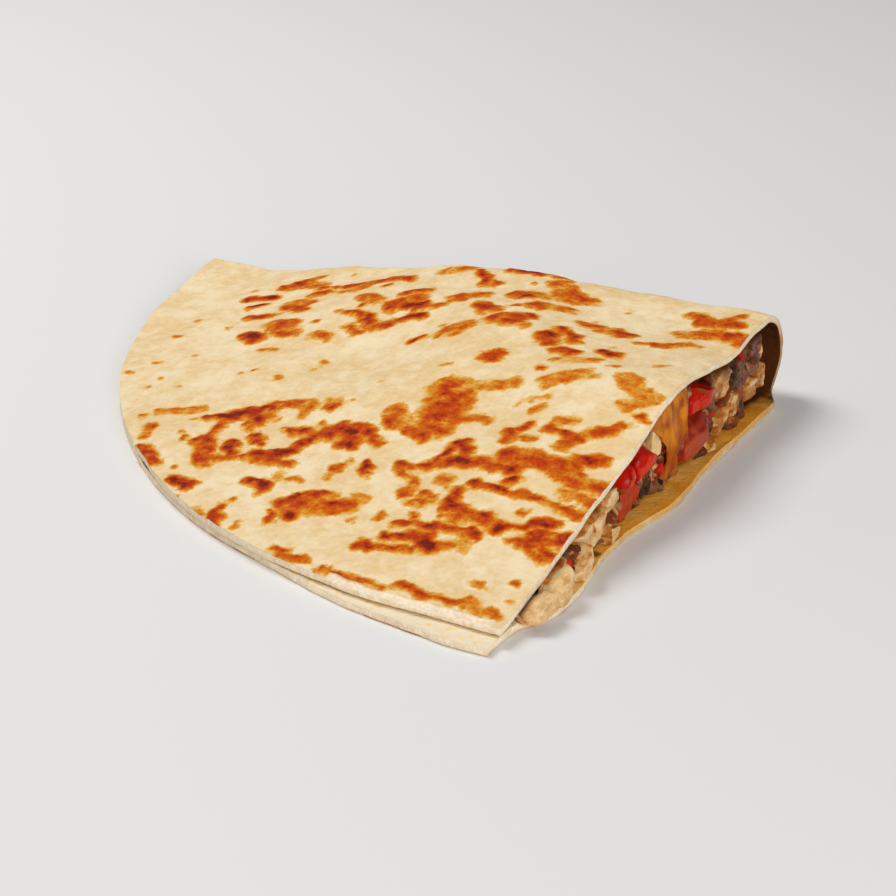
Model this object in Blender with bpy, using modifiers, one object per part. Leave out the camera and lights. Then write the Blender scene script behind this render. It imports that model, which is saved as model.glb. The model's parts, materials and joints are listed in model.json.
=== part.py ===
"""A wedge of quesadilla: one half of a round flour tortilla that was folded over its filling and cut in two.

Metres, +Z up. The wedge lies on its lower leaf. Its cut side faces +X, its fold faces +Y, and the
round edge runs from the thin tip at -Y to the end of the fold at -X. The origin is at the centre of
the base of the bounding box.

Wedge coordinates: u runs from the cut side into the food (-X), v from the fold towards the tip (-Y).
On the sheet itself, s is the distance from the fold line: s > 0 on the upper leaf, s < 0 on the lower.
"""

import math

import bmesh
import bpy
from mathutils import Matrix, Vector

# Tortilla
SHEET_RADIUS = 0.158
SHEET_THICK = 0.0017
PLATEAU_Z = 0.0214  # middle of the upper leaf over most of the filling
EDGE_Z = 0.0030  # middle of the upper leaf where it lies on the lower one, at the round edge
FILLED_RUN = 0.078  # distance in from the round edge over which the upper leaf climbs
CLIMB_CURVE = 1.18  # above 1, the climb starts slowly
HUMP = 0.0032  # the thickest filling lifts the upper leaf by this much more, near the cut
HUMP_FROM_EDGE = 0.084
HUMP_WIDTH = 0.020
HUMP_DEPTH = 0.060  # how far from the cut the hump reaches
FOLD_MIN_HALF = 0.0026  # half height of the fold where it runs out at the round edge
FOLD_BLEND = 0.020  # distance over which the upper leaf comes down from that height
LEAF_PROUD = 0.0031  # how far the lower leaf sticks out past the upper one on the cut side
LEAF_WAVE = 0.0015  # it does so unevenly, between these places and in this wave length
LEAF_WAVE_LENGTH = 0.060
LEAF_WAVE_FROM = (0.045, 0.075)
LEAF_WAVE_MIDDLE = 0.115
LEAF_ENDS = (0.012, 0.134, 0.146)  # at full width from the first place to the second, gone at the third
PROUD_BAND = 0.030  # depth from the cut in which the lower leaf is pulled outwards
LOWER_REACH = 0.0028  # how far the lower leaf reaches past the upper one at the tip
TIP_RUN = (0.020, 0.065)  # from the cut, where that reach begins to fade and where it ends
BULGE = 0.0008  # unevenness of the upper leaf over the filling
BULGE_FROM_EDGE = (0.010, 0.050)
SHEET_STEPS_ALONG = 18
SHEET_STEPS_ACROSS = 42
FOLD_CROWDING = 1.7  # above 1, rows of the mesh crowd towards the fold

# Filling
GAP = 0.0004  # clearance between touching pieces
CORE_SETBACK = 0.0044  # the bed of filling starts this far behind the cut
CORE_UNEVEN = 0.0009  # and is this rough there
CORE_FROM_FOLD = 0.0060  # hollow between the fold's round part and the bed
CORE_TO_EDGE = 0.020  # bare rim of tortilla outside the bed
CORE_SAG = 0.0006  # slack under the upper leaf
CORE_SQUEEZE = 0.0016  # its rim is thinner by this much above and below
CORE_TUCK = 0.04  # its top and bottom are smaller than its middle by this share
CORE_STEPS = 10

# Morsels that show at the cut side: what it is, v and z of its middle, size along v, along z and
# along u, and its tilt in the cut plane. Millimetres and degrees.
MORSELS = {
    "chicken_tip": ("chicken", 127.0, 4.8, 11.0, 3.2, 9.0, 14),
    "chicken_slice": ("chicken", 109.5, 6.3, 16.5, 6.0, 10.0, 10),
    "chicken_crumb": ("chicken", 98.2, 10.8, 6.4, 4.6, 8.0, 12),
    "pepper_scrap": ("pepper", 91.6, 12.7, 5.2, 4.0, 8.0, 16),
    "tomato": ("bean", 89.0, 6.3, 13.0, 7.2, 9.5, 8),
    "pepper_dice": ("pepper", 83.2, 14.4, 8.4, 5.6, 9.0, 18),
    "onion_strip": ("onion", 75.6, 14.4, 4.4, 10.0, 10.0, 8),
    "olive": ("bean", 78.4, 5.0, 6.6, 5.0, 8.0, 0),
    "mushroom_scrap": ("mushroom", 68.4, 6.6, 6.4, 7.4, 9.0, -10),
    "kidney_bean": ("bean", 54.4, 8.2, 17.0, 10.6, 10.2, 14),
    "pepper_strip": ("pepper", 52.2, 17.4, 12.0, 5.2, 10.0, 8),
    "chicken_chunk": ("chicken", 39.0, 15.0, 10.6, 8.0, 10.4, 0),
    "chicken_cube": ("chicken", 37.6, 6.2, 11.6, 7.0, 10.4, 0),
    "mushroom_slice": ("mushroom", 27.4, 11.0, 5.8, 13.4, 10.0, 8),
    "chicken_end": ("chicken", 18.8, 6.6, 8.4, 7.2, 9.0, 0),
}
MORSEL_PROUD = 0.0006  # how far a morsel's face bulges past the plane of the cut
KINDS = {  # roundness from 0, a block, to 1, an ellipsoid; bend as a share of the height
    "chicken": (0.45, 0.0),
    "pepper": (0.35, 0.14),
    "onion": (0.60, 0.10),
    "mushroom": (0.50, 0.06),
    "bean": (1.0, 0.06),
}
MORSEL_CUTS = 2

# Strand of melted cheese that hangs from the upper leaf over the cut
CHEESE_V = (0.0600, 0.0765)
CHEESE_Z = (0.0070, 0.0206)
CHEESE_THICK = 0.0011
CHEESE_OUT = 0.0021  # how far in front of the cut it hangs
CHEESE_STEPS = 6

COLOURS = {
    "tortilla": (0.76, 0.60, 0.36),
    "filling": (0.20, 0.055, 0.018),
    "cheese": (0.60, 0.29, 0.06),
    "chicken": (0.72, 0.52, 0.28),
    "pepper": (0.62, 0.03, 0.012),
    "bean": (0.25, 0.03, 0.016),
    "onion": (0.78, 0.66, 0.40),
    "mushroom": (0.22, 0.13, 0.075),
    "olive": (0.03, 0.022, 0.018),
    "tomato": (0.42, 0.035, 0.018),
}


def smooth_step(low, high, value):
    """0 below low, 1 above high, and smooth between them."""
    t = min(1.0, max(0.0, (value - low) / (high - low)))
    return t * t * (3 - 2 * t)


def climb(u, s):
    """Height of the middle of the upper leaf over a place of the sheet, set by how far in it is."""
    from_edge = max(0.0, SHEET_RADIUS - math.hypot(u, s))
    t = (from_edge / FILLED_RUN) ** CLIMB_CURVE
    eased = t / (1 + t**5) ** 0.2
    mound = math.exp(-(((from_edge - HUMP_FROM_EDGE) / HUMP_WIDTH) ** 2) - (u / HUMP_DEPTH) ** 2)
    return EDGE_Z + (PLATEAU_Z - EDGE_Z) * eased + HUMP * mound


def fold_half_height(u):
    """Half the height of the round fold, between the middles of the two leaves."""
    half = FOLD_MIN_HALF
    for _ in range(3):
        half = max(FOLD_MIN_HALF, (climb(u, math.pi * half / 2) - SHEET_THICK / 2) / 2)
    return half


def fold_run(u):
    """Distance along the sheet from the fold line to where the round of the fold ends."""
    return math.pi * fold_half_height(u) / 2


def bulges(u, s):
    """Unevenness of the upper leaf over the filling, none at its edges."""
    inside = smooth_step(*BULGE_FROM_EDGE, SHEET_RADIUS - math.hypot(u, s))
    past_fold = smooth_step(0, BULGE_FROM_EDGE[0], s - fold_run(u))
    waves = math.sin(95 * u + 40 * s + 0.6) * math.sin(70 * s - 55 * u + 1.1)
    return BULGE * inside * past_fold * waves


def upper_z(u, s):
    """Middle of the upper leaf at a point of the sheet past the fold's round part."""
    start = fold_run(u)
    step = SHEET_THICK / 2 + 2 * fold_half_height(u) - climb(u, start)
    return climb(u, s) + step * math.exp(-(((s - start) / FOLD_BLEND) ** 2)) + bulges(u, s)


def lower_proud(u, v):
    """How far the lower leaf is pulled out past the cut at this place."""
    start, end, gone = LEAF_ENDS
    band = 1 - smooth_step(0, PROUD_BAND, u)
    along = smooth_step(0, start, v) * (1 - smooth_step(end, gone, v))
    wave = LEAF_WAVE * math.sin(2 * math.pi * (v - LEAF_WAVE_MIDDLE) / LEAF_WAVE_LENGTH)
    return band * along * (LEAF_PROUD + wave * smooth_step(*LEAF_WAVE_FROM, v))


def sheet_point(u, s):
    """Where a point of the flat tortilla lies once it is folded. The corner of fold and cut is at 0, 0."""
    half = fold_half_height(u)
    start = fold_run(u)
    if abs(s) <= start:
        turn = s / half
        v = half * (1 - math.cos(turn))
        z = SHEET_THICK / 2 + half * (1 + math.sin(turn))
    else:
        v = half + abs(s) - start
        z = upper_z(u, s) if s > 0 else SHEET_THICK / 2
    out = lower_proud(u, v) if s < 0 else 0.0
    return Vector((out - u, -v, z))


def half_disc(across, along):
    """A point of a unit half disc from a point of a rectangle: along from 0 to 1, across from -1 to 1."""
    return (
        along * math.sqrt(1 - across**2 / 2),
        across * math.sqrt(1 - along**2 / 2),
    )


def crowd(t):
    return math.copysign(abs(t) ** FOLD_CROWDING, t)


def add_object(name, bm, collection, colour, roughness):
    """A named object from a bmesh, with its own material."""
    mesh = bpy.data.meshes.new(name)
    bmesh.ops.recalc_face_normals(bm, faces=bm.faces)
    if bm.calc_volume(signed=True) < 0:
        bmesh.ops.reverse_faces(bm, faces=bm.faces)
    bm.to_mesh(mesh)
    bm.free()
    mesh.shade_smooth()
    mesh.set_sharp_from_angle(angle=math.radians(50))
    obj = bpy.data.objects.new(name, mesh)
    collection.objects.link(obj)
    material = bpy.data.materials.new(name)
    material.use_nodes = True
    shader = material.node_tree.nodes["Principled BSDF"]
    shader.inputs["Base Color"].default_value = (*colour, 1)
    shader.inputs["Roughness"].default_value = roughness
    shader.inputs["Metallic"].default_value = 0.0
    mesh.materials.append(material)
    return obj


def add_sheet_thickness(obj, thickness):
    solidify = obj.modifiers.new("Thickness", "SOLIDIFY")
    solidify.thickness = thickness
    solidify.offset = 0
    solidify.use_even_offset = True


def make_tortilla(collection):
    """Half of the round sheet, folded on itself; both leaves and the fold are one piece."""
    bm = bmesh.new()
    bmesh.ops.create_grid(
        bm, x_segments=SHEET_STEPS_ALONG, y_segments=SHEET_STEPS_ACROSS, size=1
    )
    for vert in bm.verts:
        along = (vert.co.x + 1) / 2
        u, s = half_disc(crowd(vert.co.y), along)
        near_tip = 1 - smooth_step(*TIP_RUN, u * SHEET_RADIUS)
        reach = LOWER_REACH * near_tip * smooth_step(0.5, 1.0, -s)
        vert.co = sheet_point(u * SHEET_RADIUS, s * (SHEET_RADIUS + reach))
    obj = add_object("tortilla", bm, collection, COLOURS["tortilla"], 0.75)
    add_sheet_thickness(obj, SHEET_THICK)
    return obj


def subdivided_cube(cuts):
    """A cube from -1 to 1 whose faces are grids."""
    bm = bmesh.new()
    bmesh.ops.create_cube(bm, size=2)
    bmesh.ops.subdivide_edges(bm, edges=bm.edges, cuts=cuts, use_grid_fill=True)
    return bm


def make_filling(collection):
    """The bed of cheese, sauce and chopped filling that runs through between the leaves."""
    bm = subdivided_cube(CORE_STEPS)
    for vert in bm.verts:
        x, y, z = vert.co
        tuck = 1 - CORE_TUCK * z**4
        inwards, along = half_disc((y + 1) / 2, (x + 1) / 2)
        u = CORE_SETBACK + inwards * tuck * (SHEET_RADIUS - CORE_TO_EDGE - CORE_SETBACK)
        start = fold_run(u) + CORE_FROM_FOLD
        s = start + along * tuck * (SHEET_RADIUS - CORE_TO_EDGE - start)
        v = fold_half_height(u) + s - fold_run(u)
        low = SHEET_THICK + GAP
        high = upper_z(u, s) - SHEET_THICK / 2 - GAP - CORE_SAG
        from_rim = 1 - max(abs(x), abs(y))
        squeeze = min(CORE_SQUEEZE, (high - low) / 3) * (1 - smooth_step(0, 0.25, from_rim))
        z = low + squeeze + (z + 1) / 2 * (high - low - 2 * squeeze)
        front = 1 - smooth_step(CORE_SETBACK, 5 * CORE_SETBACK, u)
        u -= front * CORE_UNEVEN * math.sin(v * 240) * math.sin(z * 420 + v * 90)
        vert.co = Vector((-u, -v, z))
    return add_object("filling", bm, collection, COLOURS["filling"], 0.45)


def make_morsel(name, spec, grow, collection):
    """One piece of the filling whose face shows at the cut, grown all round by a clearance."""
    kind, v, z, along_v, along_z, along_u, tilt = spec
    roundness, bend = KINDS[kind]
    bm = subdivided_cube(MORSEL_CUTS)
    half = Vector((along_u, along_v, along_z)) / 2000
    turn = Matrix.Rotation(math.radians(tilt), 3, "X")
    middle = Vector((MORSEL_PROUD - half.x, -v / 1000, z / 1000))
    for vert in bm.verts:
        p = vert.co.lerp(vert.co.normalized(), 0.3 + 0.7 * roundness)
        lift = bend * 2 * half.z * (0.5 - p.y**2)
        p = Vector(p[i] * (half[i] + grow) for i in range(3))
        p.z += lift
        vert.co = turn @ p + middle
    colour = COLOURS.get(name, COLOURS[kind])
    return add_object(name, bm, collection, colour, 0.5)


def cut_pockets(filling, cutters):
    """Each morsel sits in a pocket of the bed of filling."""
    for cutter in cutters:
        cutter.hide_render = True
        cutter.display_type = "WIRE"
        pocket = filling.modifiers.new(cutter.name, "BOOLEAN")
        pocket.operation = "DIFFERENCE"
        pocket.solver = "EXACT"
        pocket.object = cutter


def make_cheese(collection):
    """The strand of melted cheese: wide under the upper leaf, narrow at its lower end."""
    bm = bmesh.new()
    bmesh.ops.create_grid(bm, x_segments=CHEESE_STEPS, y_segments=CHEESE_STEPS, size=1)
    middle = sum(CHEESE_V) / 2
    half_width = (CHEESE_V[1] - CHEESE_V[0]) / 2
    for vert in bm.verts:
        drop = (1 - vert.co.y) / 2
        width = half_width * (1 - 0.62 * drop**1.4)
        v = middle + vert.co.x * width + 0.002 * drop
        z = CHEESE_Z[1] + (CHEESE_Z[0] - CHEESE_Z[1]) * drop
        out = CHEESE_OUT * math.sin(math.pi * (0.15 + 0.75 * drop))
        vert.co = Vector((out + CHEESE_THICK, -v, z))
    obj = add_object("melted_cheese", bm, collection, COLOURS["cheese"], 0.4)
    add_sheet_thickness(obj, CHEESE_THICK)
    return obj


def centre_on_base(objects, cutters):
    """Moves everything together so that the centre of the base of the bounding box is the origin."""
    bpy.context.view_layer.update()
    graph = bpy.context.evaluated_depsgraph_get()
    corners = [
        obj.matrix_world @ Vector(corner)
        for obj in objects
        for corner in obj.evaluated_get(graph).bound_box
    ]
    low = Vector(min(c[i] for c in corners) for i in range(3))
    high = Vector(max(c[i] for c in corners) for i in range(3))
    centre = Vector(((low.x + high.x) / 2, (low.y + high.y) / 2, low.z))
    for obj in objects + cutters:
        obj.location -= centre


def main():
    for obj in list(bpy.data.objects):
        bpy.data.objects.remove(obj)
    collection = bpy.data.collections.new("quesadilla")
    cutter_collection = bpy.data.collections.new("cutters")
    bpy.context.scene.collection.children.link(collection)
    bpy.context.scene.collection.children.link(cutter_collection)
    filling = make_filling(collection)
    objects = [make_tortilla(collection), filling, make_cheese(collection)]
    cutters = []
    for name, spec in MORSELS.items():
        objects.append(make_morsel(name, spec, 0.0, collection))
        cutters.append(make_morsel(name + "_pocket", spec, GAP, cutter_collection))
    cut_pockets(filling, cutters)
    centre_on_base(objects, cutters)


main()
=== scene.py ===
"""A wedge of quesadilla: the finish of the toasted tortilla and of everything that shows at its cut side.

Metres, +Z up, in the frame of the solids. In wedge coordinates u runs from the cut side into the food,
v from the fold towards the thin tip and z up. On the sheet itself s is the distance from the fold line,
above 0 on the upper leaf and below 0 on the lower one.
"""

import itertools
import json
import math
from contextlib import contextmanager

import bmesh
import bpy
import numpy as np
from bpy.props import FloatProperty, FloatVectorProperty, PointerProperty
from bpy.types import Operator, Panel, PropertyGroup
from mathutils import Matrix, Vector, kdtree
from mathutils.bvhtree import BVHTree

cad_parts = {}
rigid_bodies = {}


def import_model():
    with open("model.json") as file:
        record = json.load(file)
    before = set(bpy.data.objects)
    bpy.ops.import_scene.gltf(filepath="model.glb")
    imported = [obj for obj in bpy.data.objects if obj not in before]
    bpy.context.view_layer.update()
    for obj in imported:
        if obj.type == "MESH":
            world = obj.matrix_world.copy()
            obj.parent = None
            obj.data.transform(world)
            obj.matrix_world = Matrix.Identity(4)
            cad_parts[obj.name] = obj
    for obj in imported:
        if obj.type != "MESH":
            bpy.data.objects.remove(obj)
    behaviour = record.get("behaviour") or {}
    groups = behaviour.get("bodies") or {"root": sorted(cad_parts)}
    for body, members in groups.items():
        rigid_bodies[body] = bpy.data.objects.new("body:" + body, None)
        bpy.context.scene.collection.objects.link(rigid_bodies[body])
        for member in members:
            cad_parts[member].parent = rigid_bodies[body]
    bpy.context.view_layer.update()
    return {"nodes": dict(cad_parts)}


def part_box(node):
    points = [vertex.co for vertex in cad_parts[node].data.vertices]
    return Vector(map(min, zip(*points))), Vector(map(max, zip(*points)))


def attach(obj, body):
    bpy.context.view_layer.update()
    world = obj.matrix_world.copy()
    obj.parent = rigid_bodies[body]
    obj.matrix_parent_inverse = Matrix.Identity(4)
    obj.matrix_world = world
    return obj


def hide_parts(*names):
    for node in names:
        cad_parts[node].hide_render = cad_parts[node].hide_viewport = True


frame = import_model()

bl_info = {
    "name": "Quesadilla Wedge",
    "version": (1, 0, 0),
    "blender": (4, 5, 0),
    "location": "View3D > Sidebar > Quesadilla",
    "description": "Builds a toasted quesadilla wedge with the filling that shows at its cut side",
    "category": "Add Mesh",
}

MM = 0.001

# The folded sheet, as the solids have it
SHEET_RADIUS = 0.158
SHEET_THICK = 0.0017
PLATEAU_Z = 0.0214
EDGE_Z = 0.0030
FILLED_RUN = 0.078
CLIMB_CURVE = 1.18
HUMP = 0.0032
HUMP_FROM_EDGE = 0.084
HUMP_WIDTH = 0.020
HUMP_DEPTH = 0.060
FOLD_MIN_HALF = 0.0026
FOLD_BLEND = 0.020
LEAF_PROUD = 0.0031
LEAF_WAVE = 0.0015
LEAF_WAVE_LENGTH = 0.060
LEAF_WAVE_FROM = (0.045, 0.075)
LEAF_WAVE_MIDDLE = 0.115
LEAF_ENDS = (0.012, 0.134, 0.146)
PROUD_BAND = 0.030
LOWER_REACH = 0.0028
TIP_RUN = (0.020, 0.065)
BULGE = 0.0008
BULGE_FROM_EDGE = (0.010, 0.050)

SHEET_LOW, SHEET_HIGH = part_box("tortilla")
CUT_X = SHEET_LOW.x + SHEET_RADIUS
FOLD_Y = SHEET_HIGH.y - SHEET_THICK / 2

# Unevenness of the sheet: how far its rim strays from the circle, its lumps and waves
RIM_SWELL = 0.0033
RIM_SWELL_AT = (31, 15)  # middle and width in degrees from the cut
RIM_WOBBLE = (0.0007, 0.00025)
LUMPS = ((0.00085, 0.024), (0.00045, 0.011))  # height, and how far apart
RIM_WAVE = 0.0016
NOSE = 0.0006  # unevenness of the fold
RAGGED = 0.00035  # unevenness of the cut
CURL = 0.0009  # the lower leaf's edge, off the surface it lies on

# Mesh of the sheet: rows across it, columns in from the cut and rings of points round its rim
LOWER_ROWS = 58
FOLD_ROWS = 48
UPPER_ROWS = 146
RIM_ROWS = 5
COLUMNS = 156
COLUMN_CROWDING = 1.12
FOLD_SHARE = 0.15
RINGS = 3

# The outer ply has flaked off along the rim of the upper leaf
FLAKE_ROW = 0.9850
FLAKE_STEP = 0.0014
FLAKE_RUN = (0.0015, 0.041)
FLAKE_DEPTH = 0.00055
FLAKE_WAVER = 0.0032

# Browned patches on the upper leaf, in millimetres: u and v of one end, u and v of the other end,
# half width, and how dark the middle is.
BROWNED_TOP = (
    # large patch under the thickest filling, and its tail
    (49, 77, 46, 86, 5.6, 0.74), (47, 86, 45, 92, 4.6, 0.76), (57, 87, 54, 92, 2.6, 0.56),
    (50, 94, 46, 96, 1.6, 0.86), (40, 86, 35, 86.5, 1.1, 0.62), (57, 98, 54, 100, 1.2, 0.72),
    # islands in the middle
    (68, 98, 61, 96, 3.2, 0.86), (62, 97, 61, 102, 2.3, 0.92), (59, 110.5, 58, 110.7, 1.7, 0.88),
    (53, 108, 51.5, 111.5, 1.5, 0.96), (59, 114, 59, 115, 0.9, 0.46), (66, 117.5, 65, 117.5, 1.1, 0.52),
    # streaks that run in from the cut
    (37, 96, 39, 104, 1.4, 0.92), (36, 96, 31, 102, 1.6, 0.76), (38, 104, 33, 102, 2.0, 0.86),
    (33, 102, 25, 103, 1.7, 0.78), (46, 106, 40, 105, 1.6, 0.82), (46, 107, 40, 112, 1.1, 0.62),
    (40, 112, 39.5, 116, 1.4, 0.62), (34.5, 109, 33, 109, 1.6, 0.54), (36, 115, 33, 115.5, 0.9, 0.72),
    (36, 118.5, 33, 118, 1.4, 0.82), (34.5, 122, 34, 123, 1.0, 0.52), (41.5, 124.5, 41, 125, 1.0, 0.56),
    (28, 91, 25, 87, 1.5, 0.78), (28, 91, 27, 94, 1.2, 0.72), (24, 92, 21, 92, 1.2, 0.52),
    (20, 87, 12, 89, 1.5, 0.80), (12, 88, 5, 82.5, 1.6, 0.76), (15, 92, 14, 92, 2.0, 0.64),
    (24, 99, 11, 99, 2.9, 0.74), (10, 96, 5, 94, 2.2, 0.72), (10, 102, 0, 103, 2.3, 0.76),
    (31, 103, 20, 103, 1.4, 0.80), (19.5, 106.5, 19, 106.5, 1.3, 1.00), (27, 109.5, 15, 110, 1.1, 0.86),
    (15, 110, 0, 112, 1.3, 0.78), (8, 106, 0, 108, 1.2, 0.62), (29, 113, 28, 118, 1.8, 0.82),
    (28, 117, 20, 119, 1.6, 0.82), (27, 121, 18, 121, 1.4, 0.72), (20, 118.5, 14, 121, 1.4, 0.72),
    (15, 121.5, 14.5, 121.5, 1.7, 1.00), (15, 121, 8, 118, 0.9, 0.72), (9, 118, 4, 116.5, 1.5, 0.82),
    (11, 124.5, 5, 122, 1.2, 0.86), (8, 121, 0, 119.5, 1.4, 0.82), (8, 125, 1, 127, 1.6, 0.72),
    (5, 123, 0, 121, 1.8, 0.74),
    # ring towards the tip
    (36, 126.5, 28, 125, 0.9, 0.76), (28, 125, 18, 125, 1.4, 0.82), (30, 129, 27, 128.5, 1.8, 0.82),
    (27, 131.5, 25, 132, 2.0, 0.98), (36, 130.5, 29, 130, 1.0, 0.76), (29, 134, 38, 134.5, 1.1, 0.82),
    (39, 134.5, 37, 135.5, 1.6, 0.92), (20, 128, 23, 131, 1.4, 0.62), (19, 129.5, 18.5, 130, 1.1, 0.46),
    # patches along the round edge
    (57, 125, 62, 126, 2.7, 0.86), (62, 124, 56, 120.5, 1.1, 0.92), (58, 126, 50, 124, 3.2, 0.66),
    (49, 121, 46, 120.5, 1.3, 0.54), (62, 127, 59, 129.5, 1.8, 0.88), (63.5, 131, 62.5, 133.5, 1.2, 0.78),
    (56, 142.5, 53, 142, 1.3, 0.92), (54, 143.5, 48, 144.5, 1.2, 0.62), (42, 145, 42, 146, 1.1, 0.72),
    (40, 146.3, 28, 146.5, 0.7, 0.62), (25, 145.5, 18, 146, 1.1, 0.72), (18, 146.3, 10, 145.7, 1.0, 0.76),
    (10, 146.5, 2, 147, 0.7, 0.58), (4, 137, 3.5, 137, 0.6, 0.72), (11, 139, 10, 139, 1.0, 0.44),
    # faint ones near the fold
    (12, 66, 4, 72, 2.6, 0.42), (28, 71, 20, 66, 2.2, 0.44), (46, 74, 36, 72, 1.8, 0.48),
    (28, 77, 25, 77, 1.0, 0.48), (26, 81, 25, 81, 1.2, 0.46), (19.5, 84, 15.5, 83, 1.0, 0.54),
    (2.5, 78, 2, 79, 1.1, 0.64), (8, 76, 7, 76, 1.6, 0.44),
    # cluster at the far side
    (100, 96, 96, 95, 1.3, 1.00), (95, 94, 88, 90, 2.7, 0.88), (88, 92, 88, 97, 2.5, 0.88),
    (89, 88, 80, 87, 1.8, 0.62), (78.5, 88, 78.5, 91, 1.6, 0.78), (72.5, 87.5, 72.5, 88, 1.5, 1.00),
    (74, 86, 73, 87, 2.4, 0.50), (96, 98, 94, 106, 1.6, 0.72), (95, 105, 92, 110, 2.2, 0.88),
    (96, 107, 90, 115, 2.0, 0.82), (88, 106, 86, 109, 2.0, 0.88), (90, 113, 84, 112, 1.6, 0.58),
    (84.5, 101, 82, 104, 1.5, 0.88), (80, 109, 74, 108, 2.2, 0.88), (82, 111, 78, 110, 1.8, 0.88),
    (74, 108, 71, 104, 1.8, 0.84), (72, 104, 70, 101, 2.0, 0.82), (78, 98, 73, 99, 1.8, 0.84),
    (76, 111, 70, 112, 1.4, 0.72), (70, 115, 70, 118, 0.9, 0.54), (71.5, 94.5, 71, 95, 0.9, 0.54),
    (113, 101, 111, 106, 1.4, 0.58), (108, 111, 104, 114, 1.4, 0.82), (104, 114, 101, 118, 1.6, 0.78),
    (100.5, 106.5, 100, 106.5, 1.2, 0.76), (92, 123, 88, 123.5, 1.8, 0.94), (88, 123, 87.5, 126, 1.4, 0.88),
    (75, 119.5, 71, 121, 1.5, 0.94), (71, 121, 70.5, 123, 1.4, 0.88), (76, 130.5, 75, 134, 1.2, 0.74),
    (75, 134, 73, 137.5, 1.8, 0.84), (80, 133, 79, 134, 1.2, 0.44), (68.5, 135, 68, 136, 0.7, 0.52),
    (115, 94, 105, 92, 1.3, 0.46),
)
BROWN_EDGE = 0.42  # browning at the outline of a patch
BROWN_HALO = 0.0013  # run of the tan margin round a patch
BROWN_SPREAD = 0.99  # how much wider the patches are than their cores

# The filling: mesh sizes, and how the bed fills the space between the leaves
MORSEL_VOXEL = 0.00042
BED_VOXEL = 0.00062
BED_CELL = 0.0034
BED_RADIUS = 0.138
BED_FROM_FOLD = 0.0060
BED_SQUEEZE = 0.0022
BED_REACH = (0.0045, 0.0120)
BED_RELIEF = 0.0008
SPILL_BY_FOLD = (0.0016, 0.038, 0.024)  # how far out, and the middle and width along the cut
SPILL_BY_TIP = (0.0026, 0.123, 0.019)
TIP_END = 0.152  # the leaves meet past this v
FOLD_SHADE_RUN = (0.060, 0.045)  # v from which pieces are coated less, and up to which they are browner: painted shade towards the fold
TIP_START = (0.110, 0.128)  # v from which chopped chicken turns pale towards the tip
KNIFE_DEPTH = 0.0011  # from the front of each piece to the plane of the cut
OLIVE_DEPTH = 0.0016
CLEAR = 0.0001  # kept between the filling and the leaves

# Chopped chicken packed in between, in millimetres: v and z of its middle, how far out that is, and its
# size along the cut, upwards and into the food.
CHOPPED = (
    (101.5, 4.6, -0.4, 6.0, 4.4, 6.5),
    (106.0, 9.0, -1.0, 6.0, 3.6, 6.5),
    (118.6, 4.4, 1.2, 8.6, 5.2, 7.0),
    (129.0, 3.8, 1.9, 12.5, 4.4, 7.0),
    (139.6, 3.0, 2.0, 12.0, 3.4, 6.5),
    (31.0, 8.0, -1.8, 5.5, 7.0, 6.5),
    (46.0, 3.8, -0.6, 5.0, 4.0, 6.0),
    (12.5, 8.0, -3.4, 6.0, 7.0, 8.0),
    (12.0, 14.5, -4.4, 6.5, 5.0, 8.0),
)

# The cheese sheet that hangs over the cut
CHEESE_MESH = (80, 64)  # rows and columns
CHEESE_MIDDLE = 0.0725
CHEESE_HALVES = (0.0125, 0.0062)  # width at the top, towards the fold and towards the tip

# Seeds of the random choices
SEEDS = {
    "sheet": 3, "by fold": 5, "underside": 9, "freckles": 31, "bed": 17, "lump places": 23,
    "lump kinds": 29, "cheese": 33, "chicken": 40, "chopped": 48, "fibres": 49, "peppers": 60,
    "tomato": 66, "bean": 70, "olive": 71, "onion": 80, "mushrooms": 90, "bits": 101,
    "bit shapes": 103, "shades": 7,
}

# The stage
FLOOR_HALF, FLOOR_CORNERS = 6, ((-1, -1), (1, -1), (1, 1), (-1, 1))
KEY_PLACE, KEY_SIZE = (-0.55, 0.10, 0.85), 0.55
FILL_PLACE, FILL_SIZE = (0.80, -0.75, 0.45), 0.60
EYE = Vector((0.1916, -0.5519, 0.23135))  # from the corner of the cut and the fold
TARGET = Vector((-0.049, -0.078, 0.004))
LENS, SENSOR = 104, 36  # millimetres
ROLL = math.radians(1.1)


def smooth(low, high, value):
    """0 below low, 1 above high, and smooth between them."""
    t = np.clip((value - low) / (high - low), 0, 1)
    return t * t * (3 - 2 * t)


def hill(value, middle, width):
    """A smooth hill, 1 at its middle."""
    return np.exp(-(((value - middle) / width) ** 2))


def unit(vectors):
    return vectors / np.linalg.norm(vectors, axis=-1, keepdims=True)


class Grain:
    """Smooth random fields in space, the same every run.

    A number added to the points gives a field that has nothing to do with the first.
    """

    def __init__(self, seed):
        rng = np.random.default_rng(seed)
        self.order = rng.permutation(256)
        slopes = rng.normal(size=(256, 3))
        self.slopes = slopes / np.linalg.norm(slopes, axis=1, keepdims=True)

    def at(self, points, size):
        """About -1 to 1 at each point, varying over distances of size, a number or one for each axis."""
        scaled = points / size
        base = np.floor(scaled).astype(int)
        inside = scaled - base
        ease = inside**3 * (inside * (inside * 6 - 15) + 10)
        total = np.zeros(len(points))
        for corner in itertools.product((0, 1), repeat=3):
            x, y, z = ((base + corner) & 255).T
            key = self.order[(self.order[(self.order[x] + y) & 255] + z) & 255]
            slope = ((inside - corner) * self.slopes[key]).sum(axis=1)
            total += slope * np.where(corner, ease, 1 - ease).prod(axis=1)
        return total * 1.7

    def layered(self, points, size, layers=3, fade=0.5):
        """The field with finer and fainter copies of itself added."""
        size = np.asarray(size, float)
        return sum(fade**i * self.at(points + 0.37 * i, size / 2**i) for i in range(layers))


SHEET_GRAIN = Grain(SEEDS["sheet"])


# Meshes


def placed(name, data):
    """A new object in the scene."""
    obj = bpy.data.objects.new(name, data)
    bpy.context.scene.collection.objects.link(obj)
    return obj


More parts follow.
